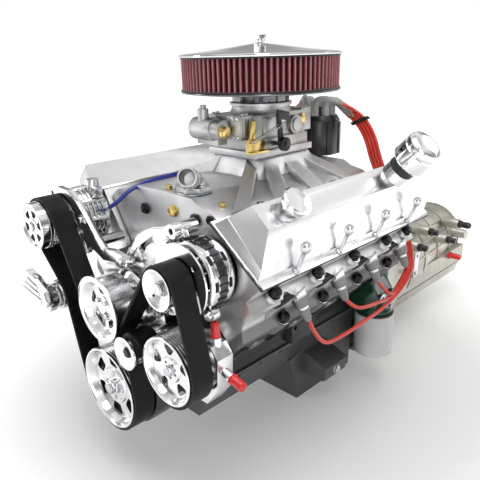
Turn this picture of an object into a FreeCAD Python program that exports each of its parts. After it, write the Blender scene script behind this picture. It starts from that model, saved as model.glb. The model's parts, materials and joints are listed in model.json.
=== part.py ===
import FreeCAD, Part
import math
import os

# A ninety degree V8 with its accessory drive and an automatic transmission.
# +Z up, -Y the front where the belt runs, +X the left bank.
# The model is drawn about the crank axis, with y = 0 at the middle main bearing.
# It is moved when it is written, so that the origin is the middle of the sump floor's underside.

# Driving dimensions, millimetres
crank_height = 205.0
bore_spacing = 123.0
bank_stagger = 12.0
bank_angle = 45.0
deck_height = 248.9
bore_radius = 53.975
crank_throw = 50.8
piston_height = 66.0
piston_clearance = 0.08
rod_length = 155.8
compression_height = 41.9
run_gap = 0.05
seat_gap = 0.3
block_front = -282.5
block_rear = 297.0
rail_half_width = 150.0
deck_half_width = 80.0
main_radius = 35.0
main_width = 30.0
rod_pin_radius = 27.9
cheek_width = 20.0
counterweight_radius = 82.0
crankcase_radius = 98.0
cam_height = 131.0
cam_radius = 24.8
gasket_thickness = 1.0
head_length = 550.0
cover_length = 560.0
cover_wall = 3.0
sheet_wall = 2.0
pan_front_depth = 92.0
pan_front_half_width = 105.0
sump_front = 42.0
sump_rear = 268.0
sump_half_width = 115.0
kick_front = 66.0
kick_rear = 156.0
kick_reach = 186.0
timing_depth = 35.0
damper_radius = 95.0
damper_width = 44.0
belt_front = -412.0
belt_width = 44.0
belt_back = 4.0
rib_height = 2.0
rib_count = 8
pulley_lip = 3.0
crank_recess = 18.0
steering_recess = 13.0
compressor_cap = 18.0
wheel_wall = 5.0
crank_pulley_radius = 84.7
pump_pulley_radius = 60.0
pump_flange_radius = 66.6
steering_pulley_radius = 63.2
alternator_pulley_radius = 34.8
compressor_pulley_radius = 50.0
idler_radius = 27.0
idler_disc_radius = 31.6
tensioner_radius = 32.0
filter_can_radius = 49.0
carb_base_height = 428.0
carb_y = 46.0
throttle_bore_radius = 21.0
air_cleaner_radius = 177.8
air_cleaner_floor = 542.0
element_height = 76.0
plug_wire_radius = 4.0
boot_length = 26.0
bell_rear = 432.0
case_rear = 962.0
case_radius_front = 150.0
case_radius_rear = 104.0
trans_drop = 10.0
engine_mount_face = 176.0
mount_hole_ys = (-40.0, 16.0)
mount_hole_height = 49.0
mount_hole_radius = 5.0
seal_radius = 58.0
crank_nose_radius = 20.3
crank_sprocket_radius = 28.0
cam_sprocket_radius = 56.0
chain_front = block_front - 20.0
damper_hub_radius = 28.0
port_offset = 3.0
lower_bolt_u = 72.0
lower_bolt_seat = 40.0
upper_bolt_u = 36.0
upper_bolt_seat = 107.0
breather_y = 140.0
breather_stem_radius = 20.9
breather_neck = 24.0
fill_y = -198.0
fill_stem_radius = 15.0
neck_x = 58.0
neck_y = -214.0
neck_seat = 378.0
neck_radius = 18.5
neck_bore = 15.5
neck_reach = 64.0
distributor_y = 262.0
distributor_seat = 168.0
distributor_stem_radius = 26.0
distributor_shaft_radius = 7.0
tower_ring = 34.0
cap_radius = 54.0
cap_foot = 379.0
cap_seat = 412.0
tower_top = 494.0
throttle_shaft_radius = 4.5
throttle_shaft_y = carb_y - 28.0
throttle_shaft_z = carb_base_height + 12.0
lid_z = air_cleaner_floor + 10.0 + element_height - 6.0
stud_top = lid_z + 40.0
pump_bore = 9.0
pulley_pin_radius = 8.0
pivot_pin_radius = 10.0
compressor_shaft_radius = 12.0
alternator_shaft_radius = 10.0
alternator_rear = -290.0
fan_radius = 67.0
fan_depth = 15.0
head_front_left = -bank_stagger - head_length / 2
head_front_right = bank_stagger - head_length / 2
cover_front_right = bank_stagger / 2 - cover_length / 2
fill_top = 52.0
spout_length = 42.0
tensioner_pivot = (-196.0, 118.0)
tensioner_cap = [(-241, 170), (-238, 200), (-206, 214), (-166, 205), (-134, 184), (-126, 156), (-142, 144),
                 (-180, 147), (-216, 155)]
compressor_gap = 17.0
compressor_arm = [(-243, 350), (-241, 367), (-204, 374), (-165, 371), (-132, 353), (-99, 322), (-67, 289),
                  (-46, 272), (-14, 276), (15, 273), (36, 264), (30, 252), (-10, 254), (-50, 248),
                  (-76, 259), (-97, 266), (-116, 244), (-148, 244), (-144, 268), (-128, 290), (-153, 322),
                  (-191, 345), (-220, 346)]
bracket_plate = [(-6, 243), (0, 264), (16, 291), (40, 313), (67, 329), (95, 341), (125, 348), (152, 356),
                 (176, 354), (184, 338), (170, 240), (120, 215), (60, 224), (10, 238)]
bracket_nose = (160.0, 349.0)
filter_at = (202.0, 246.0)
filter_top = -4.0
filter_height = 116.0
pan_rail = -84.0
output_radius = 20.0
output_end = 1080.0
output_end_radius = 17.5
tail_rear = 1032.0
shift_y = 520.0
shift_z = 4.0
shift_radius = 7.0
hose_radius = 4.5

# Cross sections of head and valve cover, (outwards, up the bore)
head_section = [(80, 0), (80, 36), (62, 50), (55, 62), (55, 96), (28, 101), (28, 144), (32, 151.5),
                (-115, 132), (-106, 100), (-88, 14), (-82, 0)]
cover_section = [(17.0, 403.0), (5.0, 424.0), (-40.0, 470.0), (-89.0, 470.0), (-112.0, 384.0)]

# Pulley centres, (x, height above the crank)
pulley_at = {
    "crank": (0.0, 0.0),
    "idler": (98.0, 124.0),
    "steering": (198.6, 122.8),
    "alternator": (190.9, 271.1),
    "pump": (0.0, 175.6),
    "compressor": (-200.0, 303.0),
    "tensioner": (-168.5, 154.0),
}

X = FreeCAD.Vector(1, 0, 0)
Y = FreeCAD.Vector(0, 1, 0)
Z = FreeCAD.Vector(0, 0, 1)
slope = math.sin(math.radians(bank_angle))


def vec(x, y, z):
    return FreeCAD.Vector(x, y, z)


def box(x0, x1, y0, y1, z0, z1):
    return Part.makeBox(x1 - x0, y1 - y0, z1 - z0, vec(x0, y0, z0))


def rod(start, direction, radius, length):
    return Part.makeCylinder(radius, length, start, direction)


def rod_y(at, radius, y0, y1):
    return rod(vec(at[0], y0, at[1]), Y, radius, y1 - y0)


def ring_y(at, outer, inner, y0, y1):
    return rod_y(at, outer, y0, y1).cut(rod_y(at, inner, y0 - 1, y1 + 1))


def joined(shapes):
    first = shapes[0]
    if len(shapes) == 1:
        return first
    return first.multiFuse(shapes[1:]).removeSplitter()


def group(shapes):
    return Part.makeCompound(shapes)


def biggest(shape):
    # The largest solid left after a cut
    return max(shape.Solids, key=lambda solid: solid.Volume)


def prism_y(points, y0, y1):
    corners = [vec(x, y0, z) for x, z in points]
    face = Part.Face(Part.makePolygon(corners + corners[:1]))
    return face.extrude(vec(0, y1 - y0, 0))


def prism_x(points, x0, x1):
    corners = [vec(x0, y, z) for y, z in points]
    face = Part.Face(Part.makePolygon(corners + corners[:1]))
    return face.extrude(vec(x1 - x0, 0, 0))


def prism_z(points, z0, z1):
    corners = [vec(x, y, z0) for x, y in points]
    face = Part.Face(Part.makePolygon(corners + corners[:1]))
    return face.extrude(vec(0, 0, z1 - z0))


def soft_wire(corners, radius):
    # Closed outline with its corners rounded by tangent arcs
    count = len(corners)
    edges = []
    ends = []
    for i in range(count):
        a = corners[i - 1] - corners[i]
        b = corners[(i + 1) % count] - corners[i]
        limit = 0.45 * min(a.Length, b.Length)
        a.normalize()
        b.normalize()
        half = (math.pi - a.getAngle(b)) / 2
        reach = min(limit, radius * math.tan(half))
        bend = reach / math.tan(half)
        inward = a + b
        inward.normalize()
        middle = corners[i] + inward * (bend / math.cos(half) - bend)
        ends.append((corners[i] + a * reach, middle, corners[i] + b * reach))
    for i in range(count):
        start, middle, stop = ends[i]
        edges.append(Part.Arc(start, middle, stop).toShape())
        edges.append(Part.LineSegment(stop, ends[(i + 1) % count][0]).toShape())
    return Part.Wire(edges)


def soft_prism_y(points, radius, y0, y1):
    wire = soft_wire([vec(x, y0, z) for x, z in points], radius)
    return Part.Face(wire).extrude(vec(0, y1 - y0, 0))


def window_ring(at, count, inner, outer, inner_half, outer_half, start, y0, y1):
    # Rounded openings between two circles, each from its half widths in degrees
    holes = []
    for i in range(count):
        a = start + 2 * math.pi * i / count
        corners = []
        for r, half in ((inner, -inner_half), (outer, -outer_half), (outer, outer_half), (inner, inner_half)):
            t = a + math.radians(half)
            corners.append((at[0] + r * math.cos(t), at[1] + r * math.sin(t)))
        holes.append(soft_prism_y(corners, (outer - inner) * 0.22, y0, y1))
    return holes


def turned_y(at, profile):
    # Profile of (radius, y) points turned about a line along Y
    corners = [vec(at[0] + r, y, at[1]) for r, y in profile]
    face = Part.Face(Part.makePolygon(corners + corners[:1]))
    return face.revolve(vec(at[0], 0, at[1]), Y, 360)


def turned_z(at, profile):
    # Profile of (radius, z) points turned about an upright line
    corners = [vec(at[0] + r, at[1], z) for r, z in profile]
    face = Part.Face(Part.makePolygon(corners + corners[:1]))
    return face.revolve(vec(at[0], at[1], 0), Z, 360)


def turned(start, direction, profile):
    # Profile of (radius, distance) points turned about a line from start
    shape = turned_z((0.0, 0.0), profile)
    shape.Placement = FreeCAD.Placement(start, FreeCAD.Rotation(Z, direction))
    return shape


def lofted(sections):
    wires = [Part.makePolygon(s + s[:1]) for s in sections]
    return Part.makeLoft(wires, True, True)


# Bank coordinates: u outwards along the deck, n up along the bores
# Side +1 is left, -1 is right, 0 is a bank drawn upright before it is turned into place

def bank_point(side, u, y, n):
    if side == 0:
        return vec(u, y, n)
    return vec(side * (n + u) * slope, y, (n - u) * slope)


def bank_dir(side, u, n, y=0.0):
    d = vec(side * (n + u) * slope, y, (n - u) * slope)
    if side == 0:
        d = vec(u, y, n)
    d.normalize()
    return d


def bank_prism(side, points, y0, y1):
    if side == 0:
        return prism_y(points, y0, y1)
    return prism_y([((side * (n + u) * slope), (n - u) * slope) for u, n in points], y0, y1)


def bank_middle(side):
    return -side * bank_stagger


def cylinder_y(side, index):
    return bank_middle(side) + (index - 1.5) * bore_spacing


def tube(points, radius):
    # Straight runs joined by tangent arcs
    pts = [vec(*p) for p in points]
    edges = []
    start = pts[0]
    for i in range(1, len(pts) - 1):
        a = pts[i - 1] - pts[i]
        b = pts[i + 1] - pts[i]
        shorter = min(a.Length, b.Length)
        a.normalize()
        b.normalize()
        half_turn = (math.pi - a.getAngle(b)) / 2
        arc_radius = 0.45 * shorter / math.tan(half_turn)
        reach = arc_radius * math.tan(half_turn)
        inward = a + b
        inward.normalize()
        middle = pts[i] + inward * (arc_radius / math.cos(half_turn) - arc_radius)
        p0 = pts[i] + a * reach
        p1 = pts[i] + b * reach
        edges.append(Part.LineSegment(start, p0).toShape())
        edges.append(Part.Arc(p0, middle, p1).toShape())
        start = p1
    edges.append(Part.LineSegment(start, pts[-1]).toShape())
    path = Part.Wire(edges)
    profile = Part.Wire(Part.makeCircle(radius, pts[0], pts[1] - pts[0]))
    return path.makePipeShell([profile], True, False)


# Belt

def belt_line(circles):
    # Closed line round circles (x, z, radius, sense); sense +1 turns clockwise seen from the front
    count = len(circles)
    touch = []
    for i in range(count):
        x0, z0, r0, s0 = circles[i]
        x1, z1, r1, s1 = circles[(i + 1) % count]
        dx = x1 - x0
        dz = z1 - z0
        dist = math.hypot(dx, dz)
        # signed radii put the line on the proper side of both wheels
        k = (s0 * r0 - s1 * r1) / dist
        base = math.atan2(dz, dx)
        turn = math.acos(max(-1.0, min(1.0, k)))
        angle = base + turn
        nx = math.cos(angle)
        nz = math.sin(angle)
        leave = (x0 + s0 * r0 * nx, z0 + s0 * r0 * nz)
        reach = (x1 + s1 * r1 * nx, z1 + s1 * r1 * nz)
        touch.append((leave, reach, angle))
    edges = []
    for i in range(count):
        x, z, r, s = circles[i]
        arrive = touch[i - 1][1]
        leave = touch[i][0]
        a0 = math.atan2(arrive[1] - z, arrive[0] - x)
        a1 = math.atan2(leave[1] - z, leave[0] - x)
        sweep = (a0 - a1) % (2 * math.pi) if s > 0 else -((a1 - a0) % (2 * math.pi))
        am = a0 - sweep / 2
        p0 = vec(arrive[0], 0, arrive[1])
        p1 = vec(leave[0], 0, leave[1])
        pm = vec(x + r * math.cos(am), 0, z + r * math.sin(am))
        edges.append(Part.Arc(p0, pm, p1).toShape())
        nxt = touch[i][1]
        edges.append(Part.LineSegment(p1, vec(nxt[0], 0, nxt[1])).toShape())
    return Part.Wire(edges)


def belt_solid(stations, inside, outside, y0, y1):
    # Band between two offset lines; inside and outside are heights above the rib pulleys' rims
    def line(height):
        total = belt_back + rib_height + 2 * seat_gap
        ring = []
        for x, z, r, s in stations:
            ring.append((x, z, r + height if s > 0 else r + total - height, s))
        return belt_line(ring)
    outer = Part.Face(line(outside)).extrude(vec(0, y1 - y0, 0))
    inner = Part.Face(line(inside)).extrude(vec(0, y1 - y0 + 2, 0))
    inner.translate(vec(0, -1, 0))
    band = outer.cut(inner)
    band.translate(vec(0, y0, 0))
    return band


def make_belt():
    order = [("crank", crank_pulley_radius, 1), ("tensioner", tensioner_radius, -1),
             ("compressor", compressor_pulley_radius, 1), ("pump", pump_pulley_radius, -1),
             ("alternator", alternator_pulley_radius, 1), ("steering", steering_pulley_radius, 1),
             ("idler", idler_radius, -1)]
    stations = []
    for name, radius, sense in order:
        x, z = pulley_at[name]
        stations.append((x, z, radius, sense))
    pitch = belt_width / rib_count
    top = seat_gap + rib_height + belt_back
    band = belt_solid(stations, seat_gap + rib_height, top, belt_front, belt_front + belt_width)
    parts = [band]
    for i in range(rib_count):
        y0 = belt_front + (i + 0.25) * pitch
        parts.append(belt_solid(stations, seat_gap, seat_gap + rib_height, y0, y0 + pitch / 2))
    return joined(parts)


# Pulleys: a rim, a dished web with windows and a hub

def grooves(at, radius):
    pitch = belt_width / rib_count
    cuts = []
    for i in range(rib_count):
        g0 = belt_front + (i + 0.25) * pitch - seat_gap
        g1 = g0 + pitch / 2 + 2 * seat_gap
        cuts.append(ring_y(at, radius + 1, radius - rib_height, g0, g1))
    return cuts


def dished_pulley(at, radius, hub, recess, grooved=True, bore=0.0):
    # Rim with a front lip, a wall sloping back to a flat web, and a raised hub
    y0 = belt_front - pulley_lip
    y1 = belt_front + belt_width + pulley_lip
    inner = radius - wheel_wall - rib_height
    web = y0 + recess
    profile = [(bore, web - 3), (hub, web - 3), (hub + 2, web), (inner - recess * 0.3, web),
               (inner + 1, y0 + 2), (inner + 3, y0), (radius - 1, y0), (radius, y0 + 1), (radius, y1),
               (inner, y1), (inner, web + 8), (hub, web + 8), (hub, y1), (bore, y1)]
    wheel = turned_y(at, profile)
    if grooved:
        wheel = wheel.cut(group(grooves(at, radius)))
    return wheel


def smooth_pulley(at, radius, bore):
    # Plain barrel with a flat web near its front
    y0 = belt_front - pulley_lip
    y1 = belt_front + belt_width + pulley_lip
    inner = radius - wheel_wall - rib_height
    return turned_y(at, [(bore, y0 + 4), (inner, y0 + 6), (inner, y0), (radius, y0), (radius, y1),
                         (inner, y1), (inner, y0 + 16), (bore + 8, y0 + 16), (bore + 8, y1), (bore, y1)])


# Block and what closes it

def make_block():
    outer = [(deck_half_width, deck_height), (deck_half_width, 150.0)]
    left = [((n + u) * slope, (n - u) * slope) for u, n in outer]
    inner = [(-deck_half_width, deck_height), (-deck_half_width, 165.0)]
    valley = [((n + u) * slope, (n - u) * slope) for u, n in inner]
    half = [(rail_half_width, 0.0), (rail_half_width, 22.0), left[1], left[0], valley[0], valley[1]]
    outline = half + [(-x, z) for x, z in reversed(half)]
    body = prism_y(outline, block_front, block_rear)
    ribs = []
    for i in range(5):
        y = (i - 2) * bore_spacing
        for side in (1, -1):
            ribs.append(bank_prism(side, [(deck_half_width - 5, 228), (deck_half_width + 6, 228),
                                          (deck_half_width + 6, 165),
                                          (deck_half_width - 5, 140)], y - 7, y + 7))
    for side in (1, -1):
        x0 = side * (rail_half_width - 15)
        x1 = side * engine_mount_face
        ribs.append(box(min(x0, x1), max(x0, x1), -52, 28, 14, 84))
    flange = prism_y([(-190, 0), (-205, 60), (-205, 125), (-130, 205), (130, 205), (205, 125), (205, 60),
                      (190, 0)], block_rear - 16, block_rear)
    body = joined([body, flange] + ribs)
    cuts = []
    for side in (1, -1):
        for i in range(4):
            y = cylinder_y(side, i)
            cuts.append(rod(bank_point(side, 0, y, 70), bank_dir(side, 0, 1), bore_radius, deck_height - 60))
    for i in range(4):
        y0 = (i - 2) * bore_spacing + main_width / 2
        cuts.append(rod_y((0, 0), crankcase_radius, y0, y0 + bore_spacing - main_width))
    cuts.append(rod_y((0, 0), crankcase_radius, block_front + 14, -2 * bore_spacing - main_width / 2))
    cuts.append(rod_y((0, 0), seal_radius, 2 * bore_spacing + main_width / 2, block_rear + 1))
    cuts.append(rod_y((0, 0), main_radius + run_gap, block_front - 1, block_rear + 1))
    cuts.append(rod_y((0, cam_height), cam_radius + run_gap, block_front - 1, 2 * bore_spacing + 20))
    cuts.append(rod(vec(0, distributor_y, distributor_seat), Z, 13.0, 40))
    cuts.append(rod(vec(0, distributor_y, cam_height), Z, distributor_shaft_radius + run_gap, 60))
    for side in (1, -1):
        for y in mount_hole_ys:
            cuts.append(rod(vec(side * (engine_mount_face + 1), y, mount_hole_height), vec(-side, 0, 0),
                            mount_hole_radius, 26))
    return body.cut(group(cuts))


def make_bearing_caps():
    caps = []
    for i in range(5):
        y = (i - 2) * bore_spacing
        cap = box(-62, 62, y - main_width / 2, y + main_width / 2, -60, 0)
        caps.append(cap.cut(rod_y((0, 0), main_radius + run_gap, y - main_width, y + main_width)))
    return group(caps)


def make_crankshaft():
    pieces = [rod_y((0, 0), crank_nose_radius, belt_front + 20, block_front + 2),
              rod_y((0, 0), main_radius, block_front + 2, 2 * bore_spacing + main_width / 2),
              rod_y((0, 0), 45.0, 2 * bore_spacing + main_width / 2, block_rear + 4)]
    body = joined(pieces)
    cut_pins = []
    throws = []
    for i, angle in enumerate((90.0, 180.0, 0.0, 270.0)):
        middle = (i - 1.5) * bore_spacing
        y0 = middle - bore_spacing / 2 + main_width / 2 + 1
        y1 = middle + bore_spacing / 2 - main_width / 2 - 1
        a = math.radians(angle)
        px = crank_throw * math.cos(a)
        pz = crank_throw * math.sin(a)
        cut_pins.append(rod_y((0, 0), main_radius + 1, y0 + cheek_width, y1 - cheek_width))
        throws.append(rod_y((px, pz), rod_pin_radius, y0, y1))
        for c0 in (y0, y1 - cheek_width):
            arm = rod_y((px, pz), rod_pin_radius + 8, c0, c0 + cheek_width)
            weight = rod_y((0, 0), counterweight_radius, c0, c0 + cheek_width)
            half = box(-100, 100, c0 - 1, c0 + cheek_width + 1, -12, 200)
            half.rotate(vec(0, 0, 0), Y, -(angle - 90))
            weight = weight.cut(half)
            neck = rod_y((0, 0), rod_pin_radius + 14, c0, c0 + cheek_width)
            throws.append(joined([arm, weight, neck]))
    body = body.cut(group(cut_pins))
    sprocket = make_sprocket((0, 0), crank_sprocket_radius, crank_nose_radius - 1, block_front - 22,
                             block_front - 6)
    return joined([body, sprocket] + throws)


def make_pistons():
    pistons = []
    for side in (1, -1):
        for i in range(4):
            y = cylinder_y(side, i)
            angle = piston_angle(side, i)
            swing = crank_throw * math.sin(angle)
            pin = crank_throw * math.cos(angle) + math.sqrt(rod_length ** 2 - swing ** 2)
            crown = pin + compression_height
            r = bore_radius - piston_clearance
            base = crown - piston_height
            profile = [(0, base + 12), (r - 8, base + 12), (r - 6, base), (r, base)]
            for k in range(3):
                low = crown - 24 + k * 7
                profile += [(r, low), (r - 3, low), (r - 3, low + 3), (r, low + 3)]
            profile += [(r, crown), (r - 12, crown), (r - 18, crown + 4), (0, crown + 5)]
            pistons.append(turned(bank_point(side, 0, y, 0), bank_dir(side, 0, 1), profile))
    return group(pistons)


def piston_angle(side, index):
    # Crank angle of a throw from its bank's bore axis at rest
    throw = math.radians((90.0, 180.0, 0.0, 270.0)[index])
    bore = math.radians(90.0 - side * bank_angle)
    return throw - bore


def make_camshaft():
    pieces = [rod_y((0, cam_height), 20.0, block_front - 24, 2 * bore_spacing + 15)]
    for i in range(5):
        y = (i - 2) * bore_spacing
        pieces.append(rod_y((0, cam_height), cam_radius, y - 12, y + 12))
    for i in range(16):
        y = (i // 4 - 1.5) * bore_spacing + (i % 4 - 1.5) * 22
        a = math.radians(i * 90 + 30)
        pieces.append(rod_y((4.0 * math.cos(a), cam_height + 4.0 * math.sin(a)), 20.4, y - 7, y + 7))
    pieces.append(make_sprocket((0, cam_height), cam_sprocket_radius, 19.0, block_front - 22,
                                block_front - 6))
    return joined(pieces)


def make_sprocket(at, radius, bore, y0, y1):
    groove = [(bore, y0), (radius - 5, y0), (radius, y0 + 3), (radius, y1 - 3), (radius - 5, y1), (bore, y1)]
    return turned_y(at, groove)


def make_chain():
    ring = [(0.0, cam_height, cam_sprocket_radius, 1), (0.0, 0.0, crank_sprocket_radius, 1)]
    outer = Part.Face(belt_line([(x, z, r + seat_gap + 7, s) for x, z, r, s in ring]))
    inner = Part.Face(belt_line([(x, z, r + seat_gap, s) for x, z, r, s in ring]))
    band = outer.extrude(vec(0, 12, 0)).cut(inner.extrude(vec(0, 14, 0)).translated(vec(0, -1, 0)))
    band.translate(vec(0, chain_front, 0))
    return band


def make_timing_cover():
    def shell(inset, y0, y1):
        low = rod_y((0, 0), 70 - inset, y0, y1)
        high = rod_y((0, cam_height), 76 - inset, y0, y1)
        side = prism_y([(-70 + inset, 0), (-76 + inset, cam_height), (76 - inset, cam_height),
                        (70 - inset, 0)], y0, y1)
        return joined([low, high, side])
    y0 = block_front - timing_depth
    cover = shell(0, y0, block_front).cut(shell(3, y0 + 3, block_front + 1))
    return cover.cut(rod_y((0, 0), damper_hub_radius + run_gap, y0 - 1, y0 + 5))


def make_pan():
    def body(inset, top):
        front = prism_y([(-rail_half_width + 6 + inset, top),
                         (-pan_front_half_width + inset, -pan_front_depth + inset),
                         (pan_front_half_width - inset, -pan_front_depth + inset),
                         (rail_half_width - 6 - inset, top)], block_front + 12 + inset,
                         sump_rear + 20 - inset)
        sump = prism_x([(sump_front - 30 + inset, -pan_front_depth + 8),
                        (sump_front + inset, -crank_height + inset),
                        (sump_rear - inset, -crank_height + inset),
                        (sump_rear + 14 - inset, -30)], -sump_half_width + inset, sump_half_width - inset)
        kick = prism_y([(0, -92), (rail_half_width - 30, -80 - inset), (kick_reach - inset, -104 - inset),
                        (kick_reach - 6 - inset, -140 + inset),
                        (0, -144 + inset)], kick_front + inset, kick_rear - inset)
        return joined([front, sump, kick])
    rail = box(-rail_half_width - 4, rail_half_width + 4, block_front + 2, block_rear - 4, -7, 0)
    shell = joined([body(0, -0.5), rail])
    cavity = body(sheet_wall, 1)
    return shell.cut(cavity).cut(rod_y((0, 0), seal_radius + 2, block_front - 2, block_rear + 2))


# Heads and covers

def head_n(n):
    return deck_height + gasket_thickness + n


def rail_n(u):
    return head_n(151.5) - (32.0 - u) * 19.5 / 147.0


def make_gasket(side):
    n0 = deck_height
    slab = bank_prism(side, [(80, n0), (80, n0 + gasket_thickness), (-80, n0 + gasket_thickness),
                             (-80, n0)], bank_middle(side) - head_length / 2 + 6,
                             bank_middle(side) + head_length / 2 - 6)
    holes = [rod(bank_point(side, 0, cylinder_y(side, i), n0 - 1), bank_dir(side, 0, 1), bore_radius + 0.6,
                 4) for i in range(4)]
    return slab.cut(group(holes))


def exhaust_port(y, depth):
    # Pointed oval opening, square to the leaning exhaust face
    out = bank_dir(0, 49, 12)
    up = bank_dir(0, -12, 49)
    middle = bank_point(0, 53.4, y, head_n(85)) + out * 8
    corners = []
    for k in range(24):
        t = 2 * math.pi * k / 24
        along = math.copysign(abs(math.cos(t)) ** 1.3, math.cos(t)) * 29.0
        corners.append(middle + Y * along + up * (math.sin(t) * 17.0))
    face = Part.Face(Part.makePolygon(corners + corners[:1]))
    return face.extrude(out * -depth)


def make_head():
    y0 = -head_length / 2
    body = bank_prism(0, [(u, head_n(n)) for u, n in head_section], y0, -y0)
    pad = [(30, head_n(50)), (62, head_n(50)), (50, head_n(99)), (30, head_n(99))]
    up = bank_dir(0, 0, 1)
    adds = []
    cuts = []
    for i in range(4):
        y = cylinder_y(0, i) + port_offset
        adds.append(bank_prism(0, pad, y - 34, y + 34))
        adds.append(rod(bank_point(0, lower_bolt_u, y + 14, head_n(0)), up, 16.0, lower_bolt_seat))
        cuts.append(exhaust_port(y, 47))
        cuts.append(rod(bank_point(0, 0, cylinder_y(0, i), head_n(-1)), up, 50.0, 11))
        at, d = plug_axis(0, i)
        adds.append(turned(at, d, [(0, 0), (19, 0), (15, 34), (0, 34)]))
    for i in range(5):
        adds.append(rod(bank_point(0, upper_bolt_u, bolt_y(0, i), head_n(60)), up, 15.0,
                        upper_bolt_seat - 60))
    body = joined([body] + adds)
    for at, direction, length in bolt_places(0):
        cuts.append(rod(at - direction * 38, direction, 5.6, 39))
        cuts.append(rod(at, direction, 14.5, 30))
    for i in range(4):
        at, d = plug_axis(0, i)
        cuts.append(rod(at + d * 14, d, 7.0, 60))
    return body.cut(group(cuts))


def turned_to_bank(side, shape):
    placed = shape.copy()
    placed.rotate(vec(0, 0, 0), Y, bank_angle)
    if side < 0:
        placed = placed.mirror(vec(0, 0, 0), X)
    placed.translate(vec(0, bank_middle(side), 0))
    return placed


def plug_axis(side, index):
    y = cylinder_y(side, index) + port_offset + 40
    return bank_point(side, 42, y, head_n(86)), bank_dir(side, 1, -0.6, 0.35)


def bolt_y(side, index):
    if index < 4:
        return cylinder_y(side, index) - 31
    return bank_middle(side) + head_length / 2 - 32


def bolt_places(side):
    places = []
    along = bank_dir(side, 0, 1)
    for i in range(4):
        y = cylinder_y(side, i) + port_offset + 14
        places.append((bank_point(side, lower_bolt_u, y, head_n(lower_bolt_seat)), along, 36))
    for i in range(5):
        places.append((bank_point(side, upper_bolt_u, bolt_y(side, i), head_n(upper_bolt_seat)), along, 36))
    return places


def make_head_bolts():
    bolts = []
    for side in (1, -1):
        for at, direction, length in bolt_places(side):
            bolts.append(turned(at, direction, [(0, -length), (5.5, -length), (5.5, 0), (14, 0), (14, 3),
                                                (10.5, 4), (10.5, 13), (8, 15), (0, 15)]))
    return group(bolts)


def make_spark_plugs():
    plugs = []
    for side in (1, -1):
        for i in range(4):
            at, d = plug_axis(side, i)
            plugs.append(turned(at + d * 14, d, [(0, 0), (6.9, 0), (6.9, 20), (11, 20), (11, 28),
                                                 (5.4, 29), (5.4, 42), (0, 42)]))
    return group(plugs)


def make_cover(side):
    y0 = bank_middle(side) * 0.5 - cover_length / 2
    y1 = y0 + cover_length
    taper = 30.0

    def body(inset, low):
        foot_out, crease, top_out, top_in, foot_in = cover_section
        outline = [(foot_out[0] - inset, rail_n(foot_out[0]) + low), (crease[0] - inset, crease[1]),
                   (top_out[0] - inset, top_out[1] - inset), (top_in[0] + inset, top_in[1] - inset),
                   (foot_in[0] + inset, rail_n(foot_in[0]) + low)]
        return bank_prism(side, outline, y0 + inset, y1 - inset)

    rail = [(32, rail_n(32)), (32, rail_n(32) + 6), (-118, rail_n(-118) + 6), (-118, rail_n(-118))]
    flange = bank_prism(side, rail, y0 - 3, y1 + 3)

    def nose_room(inset):
        wedges = []
        for end, way in ((y0, 1), (y1, -1)):
            low = end - way * 6
            near = end + way * (1 + inset)
            far = end + way * (taper + inset)
            lower = [(60, low, 424), (-140, low, 424), (-140, low, 500), (60, low, 500)]
            upper = [(60, near, 424), (-140, near, 424), (-140, far, 500), (60, far, 500)]
            wedges.append(lofted([[bank_point(side, *c) for c in lower],
                                  [bank_point(side, *c) for c in upper]]))
        return group(wedges)

    outer = body(0, 3).cut(nose_room(0))
    adds = [flange]
    holes = []
    if side > 0:
        up = bank_dir(side, 0, 1)
        adds.append(rod(bank_point(side, -62, breather_y, 466), up, 27, breather_neck + 4))
        holes.append(rod(bank_point(side, -62, fill_y, 440), up, fill_stem_radius + run_gap, 60))
        holes.append(rod(bank_point(side, -62, breather_y, 440), up, breather_stem_radius, 90))
    solid = joined([outer] + adds)
    return solid.cut(group([body(cover_wall, -24).cut(nose_room(cover_wall + 1))] + holes))


def make_cover_bolts():
    foot = [(0, 0), (8, 0), (8, 3), (6, 5), (0, 5)]
    handle = [(0, 0), (4, 0), (4, 36), (8, 42), (9.5, 47), (9.5, 52), (7, 57), (0, 59)]
    bolts = []
    for side in (1, -1):
        mid = bank_middle(side) * 0.5
        rail_up = bank_dir(side, -19.5, 147.0)
        for i in range(4):
            at = bank_point(side, 25.5, mid + (i - 1.5) * 128.0, rail_n(25.5) + 6)
            stem = turned(at + rail_up * 3, vec(side * 0.37, 0, 0.93), handle)
            bolts.append(joined([turned(at, rail_up, foot), stem]))
    return group(bolts)


def make_fill_cap():
    at = bank_point(1, -62, fill_y, 470)
    return turned(at, bank_dir(1, 0, 1), [(0, -10), (fill_stem_radius, -10), (fill_stem_radius, seat_gap),
                                          (17, seat_gap), (17, 10), (22, 12), (22, 17), (27, 19), (28, 27),
                                          (25, 30), (8, 31), (0, 31)])


def make_grommet():
    at = bank_point(1, -62, breather_y, 470)
    return turned(at, bank_dir(1, 0, 1), [(breather_stem_radius, breather_neck), (28.5, breather_neck),
                                          (28.5, 30), (26, 32), (26, 38), (29, 40), (29, 46),
                                          (breather_stem_radius, 46)])


def make_breather():
    at = bank_point(1, -62, breather_y, 470)
    return turned(at, bank_dir(1, 0, 1), [(0, -8), (breather_stem_radius, -8), (breather_stem_radius, 46),
                                          (36, 46), (39, 50), (39, 82), (37, 84), (37, 86), (39, 88),
                                          (38, 96), (34, 102), (22, 107), (0, 108)])


# Induction

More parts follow.
